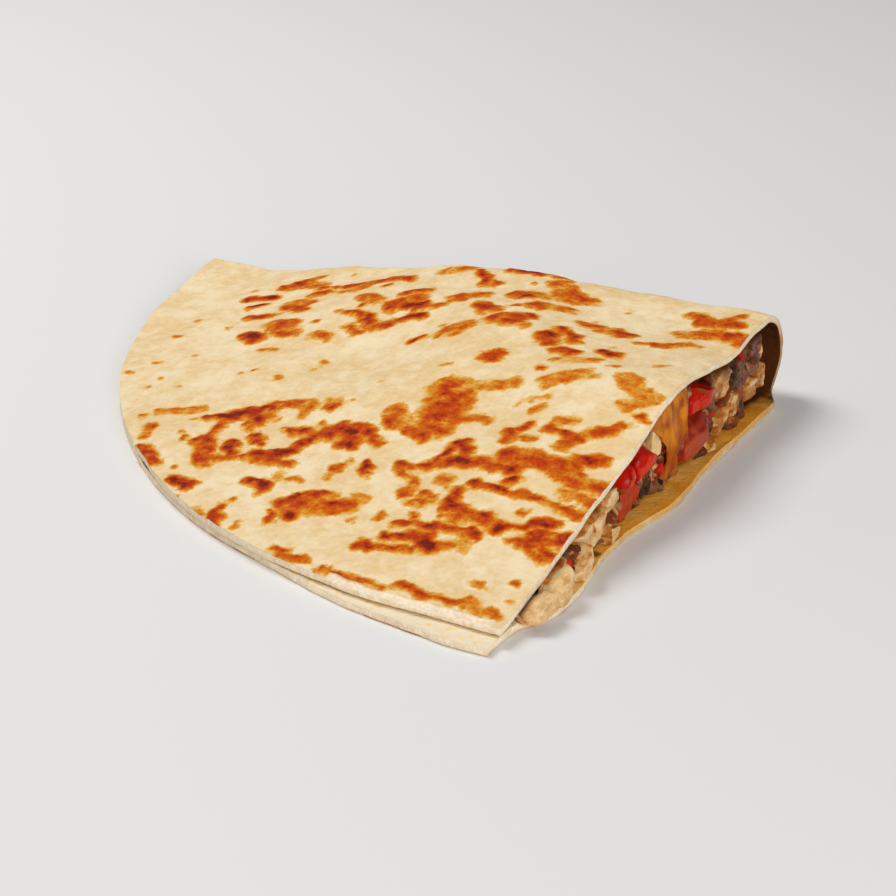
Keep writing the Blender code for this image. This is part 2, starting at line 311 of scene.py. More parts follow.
def new_object(name, mesh, material, replaced=()):
    """A finished piece of the food: it has a material, rides on the one body and stands for its solids."""
    obj = placed(name, mesh)
    mesh.materials.clear()
    mesh.materials.append(material)
    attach(obj, "root")
    if replaced:
        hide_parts(*replaced)
    return obj


def mesh_from(name, points, faces, sharp=None):
    """A smooth mesh, with sharp edges where it turns by more than this angle in degrees."""
    mesh = bpy.data.meshes.new(name)
    mesh.from_pydata(np.asarray(points).tolist(), [], np.asarray(faces).tolist())
    mesh.update()
    mesh.shade_smooth()
    if sharp:
        mesh.set_sharp_from_angle(angle=math.radians(sharp))
    return mesh


@contextmanager
def edited(mesh):
    """The mesh as a bmesh, which is written back at the end."""
    bm = bmesh.new()
    bm.from_mesh(mesh)
    yield bm
    bm.to_mesh(mesh)
    bm.free()


def point_value(mesh, name, values):
    """Stores one number for each vertex, for the materials to read."""
    layer = mesh.attributes.new(name, "FLOAT", "POINT")
    layer.data.foreach_set("value", np.ascontiguousarray(values, np.float32))


def points_of(mesh):
    points = np.empty(len(mesh.vertices) * 3)
    mesh.vertices.foreach_get("co", points)
    return points.reshape(-1, 3)


def normals_of(mesh):
    normals = np.empty(len(mesh.vertices) * 3, np.float32)
    mesh.vertex_normals.foreach_get("vector", normals)
    return normals.reshape(-1, 3).astype(float)


def move_points(mesh, points):
    mesh.vertices.foreach_set("co", np.ascontiguousarray(points, np.float32).ravel())
    mesh.update()


def soften(mesh, times):
    """Evens out the sharpest ridges."""
    with edited(mesh) as bm:
        for _ in range(times):
            bmesh.ops.smooth_vert(
                bm, verts=bm.verts, factor=0.5, use_axis_x=True, use_axis_y=True, use_axis_z=True
            )


def keep_largest(mesh):
    """Drops loose specks that remeshing leaves beside or inside the shape."""
    with edited(mesh) as bm:
        unseen, islands = set(bm.verts), []
        while unseen:
            island, front = [], [unseen.pop()]
            while front:
                vert = front.pop()
                island.append(vert)
                near = {edge.other_vert(vert) for edge in vert.link_edges} & unseen
                unseen -= near
                front.extend(near)
            islands.append(island)
        islands.sort(key=len)
        strays = [vert for island in islands[:-1] for vert in island]
        bmesh.ops.delete(bm, geom=strays, context="VERTS")


def dense_copy(node, voxel):
    """The node's closed shape as an even, fine mesh."""
    source = bpy.data.objects.new(node + "_source", frame["nodes"][node].data.copy())
    bpy.context.scene.collection.objects.link(source)
    weld = source.modifiers.new("Weld", "WELD")
    weld.merge_threshold = 1e-6
    remesh = source.modifiers.new("Remesh", "REMESH")
    remesh.mode = "VOXEL"
    remesh.voxel_size = voxel
    evaluated = source.evaluated_get(bpy.context.evaluated_depsgraph_get())
    mesh = bpy.data.meshes.new_from_object(evaluated)
    bpy.data.objects.remove(source)
    keep_largest(mesh)
    mesh.shade_smooth()
    return mesh


def rim_of(index, step=0):
    """Vertex numbers once round a grid of them, at its rim or so many steps in from each side of it."""
    last = -1 - step
    return np.concatenate([
        index[step, :-1], index[:-1, last], index[last, :0:-1], index[:0:-1, step]
    ])


def closed_sheet(name, front, back, shape, rings=(), sharp=None):
    """Two skins on the same grid, joined round the rim by way of rings of points."""
    count, columns = len(front), shape[1]
    index = np.arange(count).reshape(shape)
    loop = rim_of(index)
    corner = index[:-1, :-1].ravel()
    quads = np.stack([corner, corner + columns, corner + columns + 1, corner + 1], axis=-1)
    ringed = [2 * count + k * len(loop) + np.arange(len(loop)) for k in range(len(rings))]
    layers = [loop, *ringed, loop + count]
    sides = [
        np.stack([high, np.roll(high, -1), np.roll(low, -1), low], axis=-1)
        for high, low in zip(layers, layers[1:])
    ]
    faces = np.concatenate([quads, quads[:, ::-1] + count, *sides])
    mesh = mesh_from(name, np.concatenate([front, back, *rings]), faces)
    with edited(mesh) as bm:
        bmesh.ops.recalc_face_normals(bm, faces=bm.faces)
        if bm.calc_volume(signed=True) < 0:
            bmesh.ops.reverse_faces(bm, faces=bm.faces)
    mesh.shade_smooth()
    if sharp:
        mesh.set_sharp_from_angle(angle=math.radians(sharp))
    return mesh


def to_world(u, v, z):
    """Points of wedge coordinates in the frame of the solids."""
    return np.stack([CUT_X - u, FOLD_Y - v, z], axis=-1)


# The folded sheet


def laid_flat(u, s):
    """Points on the sheet laid flat, where its grain is read."""
    return np.stack([u, s, 0 * u], axis=-1)


def climb(u, s):
    """Height of the upper leaf over a mound of filling that thins out to the round edge."""
    from_edge = np.maximum(0.0, SHEET_RADIUS - np.hypot(u, s))
    t = (from_edge / FILLED_RUN) ** CLIMB_CURVE
    eased = t / (1 + t**5) ** 0.2
    mound = hill(from_edge, HUMP_FROM_EDGE, HUMP_WIDTH) * hill(u, 0, HUMP_DEPTH)
    return EDGE_Z + (PLATEAU_Z - EDGE_Z) * eased + HUMP * mound


def fold_half_height(u):
    """Half the height of the fold's round, which must meet the climbing upper leaf."""
    half = np.full_like(u, FOLD_MIN_HALF)
    for _ in range(3):
        half = np.maximum(FOLD_MIN_HALF, (climb(u, math.pi * half / 2) - SHEET_THICK / 2) / 2)
    return half


def bulges(u, s):
    """Low bumps where the filling presses up."""
    inside = smooth(*BULGE_FROM_EDGE, SHEET_RADIUS - np.hypot(u, s))
    past_fold = smooth(0, BULGE_FROM_EDGE[0], s - math.pi * fold_half_height(u) / 2)
    waves = np.sin(95 * u + 40 * s + 0.6) * np.sin(70 * s - 55 * u + 1.1)
    return BULGE * inside * past_fold * waves


def upper_z(u, s):
    """Height of the middle of the upper leaf, eased into the top of the fold."""
    half = fold_half_height(u)
    start = math.pi * half / 2
    step = SHEET_THICK / 2 + 2 * half - climb(u, start)
    return climb(u, s) + step * hill(s, start, FOLD_BLEND) + bulges(u, s)


def leaf_over(u, v):
    """Middle of the upper leaf over a place, from the round part of the fold outwards."""
    half = fold_half_height(u)
    start = math.pi * half / 2
    return sheet_middle(u, np.maximum(v - half + start, start), SHEET_GRAIN)[2]


def upper_z_at_cut(v):
    """Height of the middle of the upper leaf right at the cut."""
    return leaf_over(np.zeros_like(v), v)


def painted_shade_under_leaf(points):
    """1 right under the upper leaf, where the filling is painted dark as shade, and 0 well below it or out of
    the cut.
    """
    depth = CUT_X - points[:, 0]
    roof = leaf_over(np.maximum(depth, 0), np.clip(FOLD_Y - points[:, 1], 0.001, TIP_END)) - SHEET_THICK / 2
    share = (points[:, 2] - SHEET_THICK) / np.maximum(roof - SHEET_THICK, 0.0005)
    return smooth(0.80, 0.97, share) * smooth(-0.0022, -0.0006, depth)


def lower_proud(u, v):
    """How far the lower leaf stands out of the cut, in a wavy line."""
    start, end, gone = LEAF_ENDS
    band = 1 - smooth(0, PROUD_BAND, u)
    along = smooth(0, start, v) * (1 - smooth(end, gone, v))
    wave = LEAF_WAVE * np.sin(2 * math.pi * (v - LEAF_WAVE_MIDDLE) / LEAF_WAVE_LENGTH)
    return band * along * (LEAF_PROUD + wave * smooth(*LEAF_WAVE_FROM, v))


def outline(u, s, grain):
    """How far the rim of each leaf strays from the circle: a cut tortilla is never quite round."""
    angle = np.degrees(np.arctan2(u, np.abs(s)))
    at_rim = smooth(0.55, 1.0, np.hypot(u, s) / SHEET_RADIUS)
    swell = RIM_SWELL * hill(angle, *RIM_SWELL_AT)
    around = np.stack([angle / 9, np.sign(s) * 3, angle * 0], axis=-1)
    wobble = RIM_WOBBLE[0] * grain.at(around, 1.0) + RIM_WOBBLE[1] * grain.at(around * 4, 1.0)
    tip = 1 - smooth(*TIP_RUN, u)
    upper = swell + wobble - 0.0012 * (1 - smooth(3, 14, angle))
    lower = 0.7 * swell + wobble + LOWER_REACH * tip + 0.0010 * (1 - smooth(2, 9, angle))
    return at_rim * np.where(s > 0, upper, lower)


def sheet_middle(u, s, grain):
    """Middle of the folded sheet in wedge coordinates, with the lumps of the filling under it."""
    reach = np.hypot(u, s)
    from_edge = SHEET_RADIUS - reach
    half = fold_half_height(u)
    start = math.pi * half / 2
    turn = np.clip(s / half, -math.pi / 2, math.pi / 2)
    round_part = np.abs(s) <= start
    s_out = s * (1 + outline(u, s, grain) / np.maximum(reach, 1e-9))
    v = np.where(round_part, half * (1 - np.cos(turn)), half + np.abs(s_out) - start)
    height = SHEET_THICK / 2 + half * (1 + np.sin(turn))
    z = np.where(round_part, height, np.where(s > 0, upper_z(u, s), SHEET_THICK / 2))

    flat = laid_flat(u, s)
    upper = smooth(0.2, 0.9, s / start)
    (lump, far), (small_lump, near) = LUMPS
    lumps = lump * grain.at(flat, far) + small_lump * grain.at(flat + 1, near)
    rim_wave = np.maximum(0, grain.at(flat + 3, 0.034)) * RIM_WAVE * (1 - smooth(0.0, 0.030, from_edge))
    z = z + upper * (lumps * smooth(0.012, 0.045, from_edge) + rim_wave * smooth(0.02, 0.05, u))
    v = v - NOSE * grain.at(flat + 5, 0.030) * (1 - smooth(0.4, 1.6, np.abs(s) / start))
    out = np.where(s < 0, lower_proud(u, v) * smooth(0.5, 1.0, -s / start), 0)
    ragged = RAGGED * grain.at(flat + 7, 0.009) * (1 - smooth(0, 0.004, u))
    curl = CURL * np.maximum(0, grain.at(flat + 9, 0.020)) * smooth(0.001, 0.004, out - u)
    return u - out + ragged, v, z + np.where(s < -start, curl, 0)


def capsule_browning(points, strokes):
    """Browning from 0 to 1 at flat points, from patches given by two ends, half width and darkness."""
    browning = np.zeros(len(points))
    for u1, v1, u2, v2, half_width, dark in strokes:
        a, b = np.array([u1, v1]), np.array([u2, v2])
        run = b - a
        share = np.clip((points - a) @ run / max(run @ run, 1e-12), 0, 1)
        distance = np.linalg.norm(points - a - share[:, None] * run, axis=1)
        half_width = half_width * BROWN_SPREAD
        core = dark - (dark - BROWN_EDGE) * (distance / half_width) ** 2
        halo = BROWN_EDGE * (1 - (distance - half_width) / BROWN_HALO)
        browning = np.maximum(browning, np.where(distance < half_width, core, np.maximum(halo, 0)))
    return browning


def scattered_patches(seed, clusters, low, high):
    """Loose groups of browned streaks between two corners of the sheet, in metres."""
    rng = np.random.default_rng(seed)
    strokes = []
    for _ in range(clusters):
        middle = rng.uniform(low, high)
        for _ in range(rng.integers(3, 7)):
            a = middle + rng.normal(0, 0.008, 2)
            turn = rng.normal(0, 0.5)
            b = a + rng.uniform(0.0005, 0.008) * np.array([math.cos(turn), math.sin(turn)])
            strokes.append((*a, *b, rng.uniform(0.0009, 0.0028), rng.uniform(0.5, 0.98)))
    return strokes


def browned(u, s, v, grain):
    """Browning of the outer side of the sheet."""
    flat = laid_flat(u, s)
    wide = np.stack([grain.layered(flat + k, 0.0055) for k in (11, 13)], axis=-1)
    fine = np.stack([grain.layered(flat + k, 0.0022, 2) for k in (15, 17)], axis=-1)
    shift = 0.0011 * wide + 0.0006 * fine
    above, below = np.stack([u, v], axis=-1) + shift, np.stack([u, s], axis=-1) + shift
    seen = [tuple(MM * x for x in row[:5]) + (row[5],) for row in BROWNED_TOP]
    rng = np.random.default_rng(SEEDS["freckles"])
    freckles = [(*rng.uniform((0, 0.01), (0.14, 0.15)),) * 2 for _ in range(110)]
    freckles = [(*place, rng.uniform(0.0003, 0.0009), rng.uniform(0.35, 0.85)) for place in freckles]
    top = capsule_browning(above, [*seen, *freckles])
    by_fold = capsule_browning(above, scattered_patches(SEEDS["by fold"], 20, (0.0, 0.006), (0.125, 0.062)))
    by_fold *= 1 - smooth(0.050, 0.060, v - 0.22 * u)
    under = capsule_browning(below, scattered_patches(SEEDS["underside"], 42, (0.0, -0.150), (0.150, -0.012)))
    return np.where(s > 0, np.maximum(top, by_fold), under)


def sheet_grid(grain):
    """u and s of the grid of vertices over the half disc, and the row each is in as a share of the radius."""
    flake_end = FLAKE_ROW + FLAKE_STEP
    spans = (
        (-1, -FOLD_SHARE, LOWER_ROWS),
        (-FOLD_SHARE, FOLD_SHARE, FOLD_ROWS),
        (FOLD_SHARE, FLAKE_ROW, UPPER_ROWS),
        (FLAKE_ROW, flake_end, 2),
    )
    rows = [np.linspace(low, high, count, endpoint=False) for low, high, count in spans]
    rows = np.concatenate([*rows, np.linspace(flake_end, 1, RIM_ROWS)])
    row, column = np.meshgrid(rows, np.linspace(0, 1, COLUMNS) ** COLUMN_CROWDING, indexing="ij")
    waver = grain.at(np.stack([column, 0 * column, 0 * column + 9], axis=-1).reshape(-1, 3), 0.035)
    across = row + FLAKE_WAVER * waver.reshape(row.shape) * hill(row, FLAKE_ROW, 0.0060)
    u = SHEET_RADIUS * column * np.sqrt(1 - across**2 / 2)
    s = SHEET_RADIUS * across * np.sqrt(1 - column**2 / 2)
    return u, s, row


def rim_rings(middle, outer, inner, index, grain):
    """Rings of points from the outer skin's rim to the inner one's, a little rounded and rough."""
    loop, step_in = rim_of(index), rim_of(index, 1)
    outward = unit(middle[loop] - middle[step_in])
    rings = []
    for k in range(RINGS):
        share = (k + 1) / (RINGS + 1)
        bulge = 0.00022 * math.sin(math.pi * share) + 0.00016 * grain.at(middle[loop] + k, 0.0013)
        ring = outer[loop] * (1 - share) + inner[loop] * share + outward * bulge[:, None]
        ring[:, 2] = np.maximum(ring[:, 2], 0.0)
        rings.append(ring)
    return rings


def tortilla_mesh(settings):
    """Both skins of the sheet and the crumb that shows at its edges, as one closed mesh."""
    grain = SHEET_GRAIN
    u, s, row = sheet_grid(grain)
    shape = u.shape
    u, s, row = u.ravel(), s.ravel(), row.ravel()
    u_at, v_at, z_at = sheet_middle(u, s, grain)
    middle = to_world(u_at, v_at, z_at)
    grid = middle.reshape(*shape, 3)
    normal = unit(np.cross(np.gradient(grid, axis=0), np.gradient(grid, axis=1)))
    normal = (normal * np.sign(normal[-10, 20, 2])).reshape(-1, 3)

    toast = browned(u, s, v_at, grain)
    flat = laid_flat(u, s)
    flake = smooth(FLAKE_ROW, FLAKE_ROW + FLAKE_STEP, row)
    flake *= smooth(FLAKE_RUN[0], FLAKE_RUN[0] + MM, u) * (1 - smooth(FLAKE_RUN[1] - MM, FLAKE_RUN[1], u))
    blister = settings.blister * smooth(0.30, 0.85, toast) * (1 + 0.5 * grain.at(flat + 21, 0.004))
    fine = 0.00010 * grain.layered(flat + 23, 0.0030, 2) + 0.00012 * grain.at(flat + 25, 0.007)
    half = settings.thickness / 2
    outer = middle + normal * (half + blister * (1 - flake) + fine - FLAKE_DEPTH * flake)[:, None]
    inner = middle - normal * (half - 0.6 * fine)[:, None]
    outer[:, 2] = np.maximum(outer[:, 2], 0)
    inner[:, 2] = np.maximum(inner[:, 2], 0.0004)
    index = np.arange(len(u)).reshape(shape)
    rings = rim_rings(middle, outer, inner, index, grain)
    mesh = closed_sheet("toasted_tortilla", outer, inner, shape, rings, sharp=55)

    from_edge = SHEET_RADIUS - np.hypot(u, s)
    stain = smooth(0.008, 0.062, from_edge) * (0.80 + 0.5 * grain.layered(flat + 27, 0.010))
    drips = smooth(0.05, 0.30, grain.layered(flat + 41, 0.0065)) * smooth(-0.0034, -0.0012, u_at)
    drips *= smooth(0.078, 0.092, -s) * (1 - smooth(0.136, 0.144, -s))
    # Sauce soaked into the inner side, and painted shade in the fold, under the filling away from the cut and
    # on the rim by the fold
    soak_and_shade = hill(s, 0, 0.024) + 0.8 * smooth(-0.0010, 0.0055, u_at) * smooth(0.020, 0.050, from_edge)
    values = {
        "side": (0 * u, 0 * u + 1, 0 * u + 0.5),
        "rim": (flake, 0 * u, 0 * u + 1),
        "toast": (toast, 0 * u, 0.6 * toast),
        "stain": (0 * u, stain, smooth(0.02, -0.01, s) * stain),
        "soak_and_shade": (0 * u, np.maximum(soak_and_shade, 0.75 * drips), 0.8 * hill(s, -0.004, 0.014)),
    }
    for name, (outside, inside, between) in values.items():
        ring = np.tile(between[rim_of(index)], RINGS)
        point_value(mesh, name, np.concatenate([outside, inside, ring]))
    return mesh


# The filling


def spill(points):
    """How far the filling has slid out of the cut: most under the thickest part and near the tip."""
    v = FOLD_Y - points[:, 1]
    bulging = sum(out * hill(v, middle, width) for out, middle, width in (SPILL_BY_FOLD, SPILL_BY_TIP))
    return (0.0003 + bulging) * (1 - 0.5 * smooth(0.004, 0.018, points[:, 2]))


def in_fold(points):
    """Keeps points off the round inner side of the fold."""
    half = fold_half_height(np.maximum(CUT_X - points[:, 0], 0))
    from_middle = FOLD_Y - points[:, 1] - half
    height = points[:, 2] - SHEET_THICK / 2 - half
    room = half - SHEET_THICK / 2 - 3 * CLEAR
    reach = np.hypot(from_middle, height)
    keep = np.where(from_middle < 0, np.minimum(1, room / np.maximum(reach, 1e-6)), 1)
    new_y = FOLD_Y - half - from_middle * keep
    return np.stack([points[:, 0], new_y, SHEET_THICK / 2 + half + height * keep], axis=-1)


def between_leaves(points):
    """Keeps what lies inside the cut between the two leaves; outside it the filling may rise past them."""
    v = np.clip(FOLD_Y - points[:, 1], 0.001, TIP_END)
    outside = np.maximum(0, points[:, 0] - CUT_X - 3 * CLEAR)
    roof = leaf_over(np.maximum(CUT_X - points[:, 0], 0), v) - SHEET_THICK / 2 - CLEAR + 2.5 * outside
    height = np.clip(points[:, 2], SHEET_THICK + CLEAR, np.maximum(roof, SHEET_THICK + 3 * CLEAR))
    return in_fold(np.stack([points[:, 0], points[:, 1], height], axis=-1))


def spread_seeds(low, high, cell, seed):
    """Points spread unevenly in a box, about one for each cell."""
    rng = np.random.default_rng(seed)
    size = np.asarray(high) - np.asarray(low)
    count = int(np.prod(size / cell))
    return np.asarray(low) + rng.random((count, 3)) * size


def cells(points, seeds):
    """For each point, the number of the nearest seed and how far inside its cell the point is."""
    tree = kdtree.KDTree(len(seeds))
    for i, seed in enumerate(seeds):
        tree.insert(seed, i)
    tree.balance()
    number = np.empty(len(points), int)
    inside = np.empty(len(points))
    for i, point in enumerate(points):
        (_, first, near), (_, _, far) = tree.find_n(point, 2)
        number[i] = first
        inside[i] = far - near
    return number, inside


def fill_gap(points, grain):
    """Stretches the bed to both leaves and out towards the fold, so that no tunnel is left."""
    u, v, z = CUT_X - points[:, 0], FOLD_Y - points[:, 1], points[:, 2]
    inside = np.maximum(u, 0)
    half = fold_half_height(inside)
    roof = leaf_over(inside, v) - SHEET_THICK / 2

    # How far the solid stands off each leaf, and each point's share of its height
    from_rim = BED_RADIUS - np.hypot(u, v - half + math.pi * half / 2)
    slack = BED_SQUEEZE * (1 - smooth(0.005, 0.020, u) * smooth(0.004, 0.026, from_rim))
    slack = np.minimum(slack, (roof - SHEET_THICK) / 2.8)
    low, high = SHEET_THICK + 0.8 * slack, roof - slack
    share = np.clip((z - low) / np.maximum(high - low, 1e-5), 0, 1)
    sag = 0.0010 * np.maximum(0, grain.at(laid_flat(u, v) + 31, 0.012)) * (1 - smooth(0.010, 0.025, u))
    floor = SHEET_THICK - 2 * CLEAR
    z = floor + share * (roof - CLEAR - sag - floor)

    reach = BED_REACH[0] + (BED_REACH[1] - BED_REACH[0]) * smooth(0.006, 0.026, u)
    reach *= np.sqrt(np.maximum(0.05, 1 - 0.85 * (2 * share - 1) ** 2))
    reach *= 1 + 0.45 * grain.at(np.stack([u, 0 * u, z], axis=-1) + 33, 0.005)
    v = v - reach * (1 - smooth(-0.0005, 0.0085, v - half - BED_FROM_FOLD))
    return in_fold(to_world(u, v, z))


def bed_mesh(settings):
    """The bed of chopped filling, sauce and cheese: lumps of all kinds pressed together."""
    grain = Grain(SEEDS["bed"])
    mesh = dense_copy("filling", BED_VOXEL)
    points = fill_gap(points_of(mesh), grain)
    move_points(mesh, points)
    normals = normals_of(mesh)

    # Lumps, each with its own kind, height and slope
    seeds = spread_seeds(points.min(axis=0), points.max(axis=0), settings.lump, SEEDS["lump places"])
    shift = 0.0005 * np.stack([grain.at(points + k, 0.0022) for k in (3, 5, 7)], axis=-1)
    number, inside = cells(points + shift, seeds)
    rng = np.random.default_rng(SEEDS["lump kinds"])
    kind, height = rng.random(len(seeds))[number], rng.random(len(seeds))[number]
    slope = rng.normal(0, 0.34, (len(seeds), 3))[number]
    rise = BED_RELIEF * smooth(0, 0.0011, inside) - 0.0006 + 0.0009 * (height - 0.5)
    rise += np.clip(((points - seeds[number]) * slope).sum(axis=1), -MM, MM)
    rise += 0.00022 * grain.layered(points, 0.0018, 3)

    # At the cut they stand out and have slid forward; against the leaves they are flat
    depth = CUT_X - points[:, 0]
    rise += smooth(0.016, 0.004, depth) * (0.0011 + 0.0009 * grain.at(points, 0.008))
    low_side, high_side = smooth(-0.2, -0.8, normals[:, 2]), smooth(0.3, 0.9, normals[:, 2])
    rise *= 1 - 0.95 * np.maximum(low_side, high_side)
    forward = smooth(0.013, 0.0045, depth) * (0.0026 + spill(points))
    points = points + normals * rise[:, None] + np.outer(forward, (1, 0, 0))
    move_points(mesh, points)
    soften(mesh, 3)
    move_points(mesh, between_leaves(points_of(mesh)))
    point_value(mesh, "kind", kind)
    # Painted shade: darker where lumps meet and right under the upper leaf
    point_value(mesh, "painted_crevice_shade", np.maximum(1 - smooth(0, 0.0008, inside), painted_shade_under_leaf(points_of(mesh))))
    point_value(mesh, "sauce", smooth(-0.25, 0.45, grain.layered(points + 2, 0.006)))
    return mesh


def slice_flat(points, middle, half, rng, count, low, high):
    """Takes flat slices off, as a knife does: low and high say how far out, with the box's sides at 1."""
    for _ in range(count):
        way = unit(rng.normal(size=3))
        beyond = (points - middle) / half @ way - rng.uniform(low, high)
        points = points - np.maximum(beyond, 0)[:, None] * way * half
    return points


def painted_shade_by_fold(points):
    """1 by the fold, where the chicken is painted browner as shade, and 0 from the middle of the cut on."""
    return smooth(*FOLD_SHADE_RUN, FOLD_Y - points[:, 1])


class Morsel:
    """One piece of the filling, worked up from its solid."""

    def __init__(self, node, seed, growth=(1, 1, 1)):
        """Growth is into the cut, along it and upwards."""
        self.node = node
        self.mesh = dense_copy(node, MORSEL_VOXEL)
        points = points_of(self.mesh)
        low, high = points.min(axis=0), points.max(axis=0)
        self.front = high[0]
        self.middle, self.half = (low + high) / 2, (high - low) / 2
        self.points = self.middle + (points - self.middle) * growth
        self.grain = Grain(seed)
        self.rng = np.random.default_rng(seed)

    def local(self):
        """The points with each side of the solid's box at 1."""
        return (self.points - self.middle) / self.half

    def slice_flat(self, count, low):
        """Takes flat slices off the piece; low is how near its middle they may come."""
        self.points = slice_flat(self.points, self.middle, self.half, self.rng, count, low, low + 0.25)

    def knife_cut(self, depth=KNIFE_DEPTH):
        """Flattens the face that the wedge's cut went through, slightly out of true."""
        from_middle = self.points - self.middle
        plane = self.front - depth + 0.04 * from_middle[:, 1] + 0.05 * from_middle[:, 2]
        self.points[:, 0] -= 0.8 * np.maximum(self.points[:, 0] - plane, 0)

    def soften(self, times):
        """Rounds off the ridges that slicing has left."""
        move_points(self.mesh, self.points)
        soften(self.mesh, times)
        self.points = points_of(self.mesh)

    def roughen(self, *passes, layers=2):
        """Moves the surface in and out, by about an amount over distances of a size in each pass."""
        for amount, size in passes:
            move_points(self.mesh, self.points)
            rise = amount * self.grain.layered(self.points, size, layers)
            self.points = self.points + normals_of(self.mesh) * rise[:, None]

    def finish(self, material):
        """Slides the piece out with the rest, stores what its material reads and makes the object."""
        self.points[:, 0] += spill(self.points)
        self.points = between_leaves(self.points)
        move_points(self.mesh, self.points)
        local, by_fold = self.local(), painted_shade_by_fold(self.points)
        # By the fold the pieces are painted darker, as shade, through less cut face and more sauce
        cut = smooth(0.55, 0.85, normals_of(self.mesh)[:, 0]) * smooth(0.45, 0.8, local[:, 0])
        coat = self.grain.layered(self.points + 5, 0.004) - 0.4 * local[:, 2] + 0.35 * by_fold
        point_value(self.mesh, "cut", cut * (1 - 0.6 * by_fold))
        point_value(self.mesh, "sauce", smooth(-0.1, 0.55, coat))
        # Painted shade right under the upper leaf
        point_value(self.mesh, "painted_crevice_shade", painted_shade_under_leaf(self.points))
        return new_object(self.node + "_piece", self.mesh, material, [self.node])


def cheese_mesh():
    """A strand that is wide under the leaf and narrow below, ribbed by its own pull, thicker at its end."""
    grain = Grain(SEEDS["cheese"])
    rows, columns = CHEESE_MESH
    grid = np.meshgrid(np.linspace(0, 1, rows), np.linspace(-1, 1, columns), indexing="ij")
    drop, across = (x.ravel() for x in grid)
    to_fold, to_tip = CHEESE_HALVES
    half_width = 0.0014 + np.where(across > 0, to_tip, to_fold) * (1 - drop) ** 1.3
    v = CHEESE_MIDDLE - 0.004 * np.sin(math.pi * drop) + across * half_width
    top = upper_z_at_cut(v) - SHEET_THICK * 0.3
    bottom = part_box("melted_cheese")[0].z - 0.0025
    z = top + (bottom - top) * drop**0.95
    spots = laid_flat(v, z)
    out = 0.0004 + 0.0016 * np.sin(math.pi * (0.06 + 0.84 * drop)) - 0.0010 * across**2
    out += 0.0008 * grain.at(spots, (0.0030, 0.014, 1.0)) + 0.0006 * grain.at(spots + 3, 0.006)
    out += 0.0004 * grain.at(spots + 9, (0.0013, 0.007, 1.0)) * smooth(0, 0.3, drop)
    v = v + 0.0007 * grain.at(spots + 7, (1.0, 0.004, 1.0)) * np.abs(across)
    edge = 1 - np.maximum(np.abs(across), 2 * drop - 1) ** 6
    thick = 0.0003 + 0.0008 * np.clip(edge, 0, 1) + 0.0002 * grain.at(spots + 5, 0.003)
    thick += 0.0009 * smooth(0.70, 0.92, drop)
    back = to_world(-out + np.maximum(thick, 0.0003), v, z)
    mesh = closed_sheet("cheese", to_world(-out, v, z), back, CHEESE_MESH)
    point_value(mesh, "soaked", np.tile(drop, 2))
    return mesh


class Surface:
    """What shows at the cut so far, for placing small things on it."""

    def __init__(self, *names):
        graph = bpy.context.evaluated_depsgraph_get()
        self.trees = [BVHTree.FromObject(bpy.data.objects[name], graph) for name in names]

    def hit(self, start, way):
        """The nearest point and its normal along a ray, or None."""
        hits = [tree.ray_cast(Vector(start), Vector(way)) for tree in self.trees]
        hits = [hit for hit in hits if hit[0]]
        return min(hits, key=lambda hit: hit[3])[:2] if hits else None


def gather(name, pieces, material):
    """Joins small closed shapes, each an array of points and one of faces, to one piece."""
    counts = [len(points) for points, _ in pieces]
    starts = np.cumsum([0, *counts[:-1]])
    faces = np.concatenate([faces + start for (_, faces), start in zip(pieces, starts)])
    mesh = mesh_from(name, np.concatenate([points for points, _ in pieces]), faces, sharp=60)
    shades = np.random.default_rng(SEEDS["shades"])
    point_value(mesh, "shade", np.repeat(shades.random(len(pieces)), counts))
    return new_object(name, mesh, material)


def ball(fineness, blocky):
    """Points and faces of a ball, squared off by blocky, from 0 to 1."""
    bm = bmesh.new()
    bmesh.ops.create_icosphere(bm, subdivisions=fineness, radius=1)
    points = np.array([vert.co for vert in bm.verts])
    faces = np.array([[vert.index for vert in face.verts] for face in bm.faces])
    bm.free()
    return points / np.abs(points).max(axis=1, keepdims=True) ** blocky, faces


def scattered_bits(surface, places, rng, grain, size, stretch, blocky, sink):
    """Small irregular pieces lying where rays, each given by its start and way, meet the surface."""
    points, faces = ball(3, blocky)
    pieces = []
    for start, way in places:
        found = surface.hit(start, way)
        if not found:
            continue
        spot, normal = found
        scale = rng.uniform(*size) * np.array([1, *rng.uniform(*stretch, 2)])
        shape = points * scale / 2
        shape *= 1 + 0.38 * grain.at(shape + rng.uniform(0, 9, 3), scale.mean() * 0.7)[:, None]
        turn = Vector(normal).to_track_quat("Z", "Y").to_matrix()
        turn = turn @ Matrix.Rotation(rng.uniform(0, 6.3), 3, "Z")
        turn = turn @ Matrix.Rotation(rng.normal(0, 0.3), 3, "X")
        centre = np.array(spot) + np.array(normal) * scale[2] * (0.5 - sink)
        pieces.append((centre + shape @ np.array(turn).T, faces))
    return pieces


def chopped_piece(row, rng, grain):
    """Points and faces of one chopped piece from its row: a squared ball, sliced, turned and fibrous."""
    v, z, out, along, high, deep = (MM * x for x in row)
    half = np.array([deep, along, high]) / 2
    points, faces = ball(5, 0.7)
    shape = slice_flat(points * half, 0, half, rng, 7, 0.72, 1.0)
    turned = Matrix.Rotation(rng.normal(0, 0.35), 3, "Z") @ Matrix.Rotation(rng.normal(0, 0.2), 3, "X")
    shape = shape @ np.array(turned).T
    shape[:, 0] = np.minimum(shape[:, 0], deep * 0.36 + 0.2 * np.maximum(shape[:, 0], 0))
    shape = shape + to_world(-out, v, z)
    fibres = shape @ np.array(Matrix.Rotation(math.radians(18), 3, "X"))
    rough = 0.00030 * grain.layered(shape, 0.0045, 2)
    rough += 0.00030 * grain.layered(fibres, (0.006, 0.005, 0.001), 2)
    return between_leaves(shape + unit(shape - shape.mean(axis=0)) * rough[:, None]), faces


# Shading


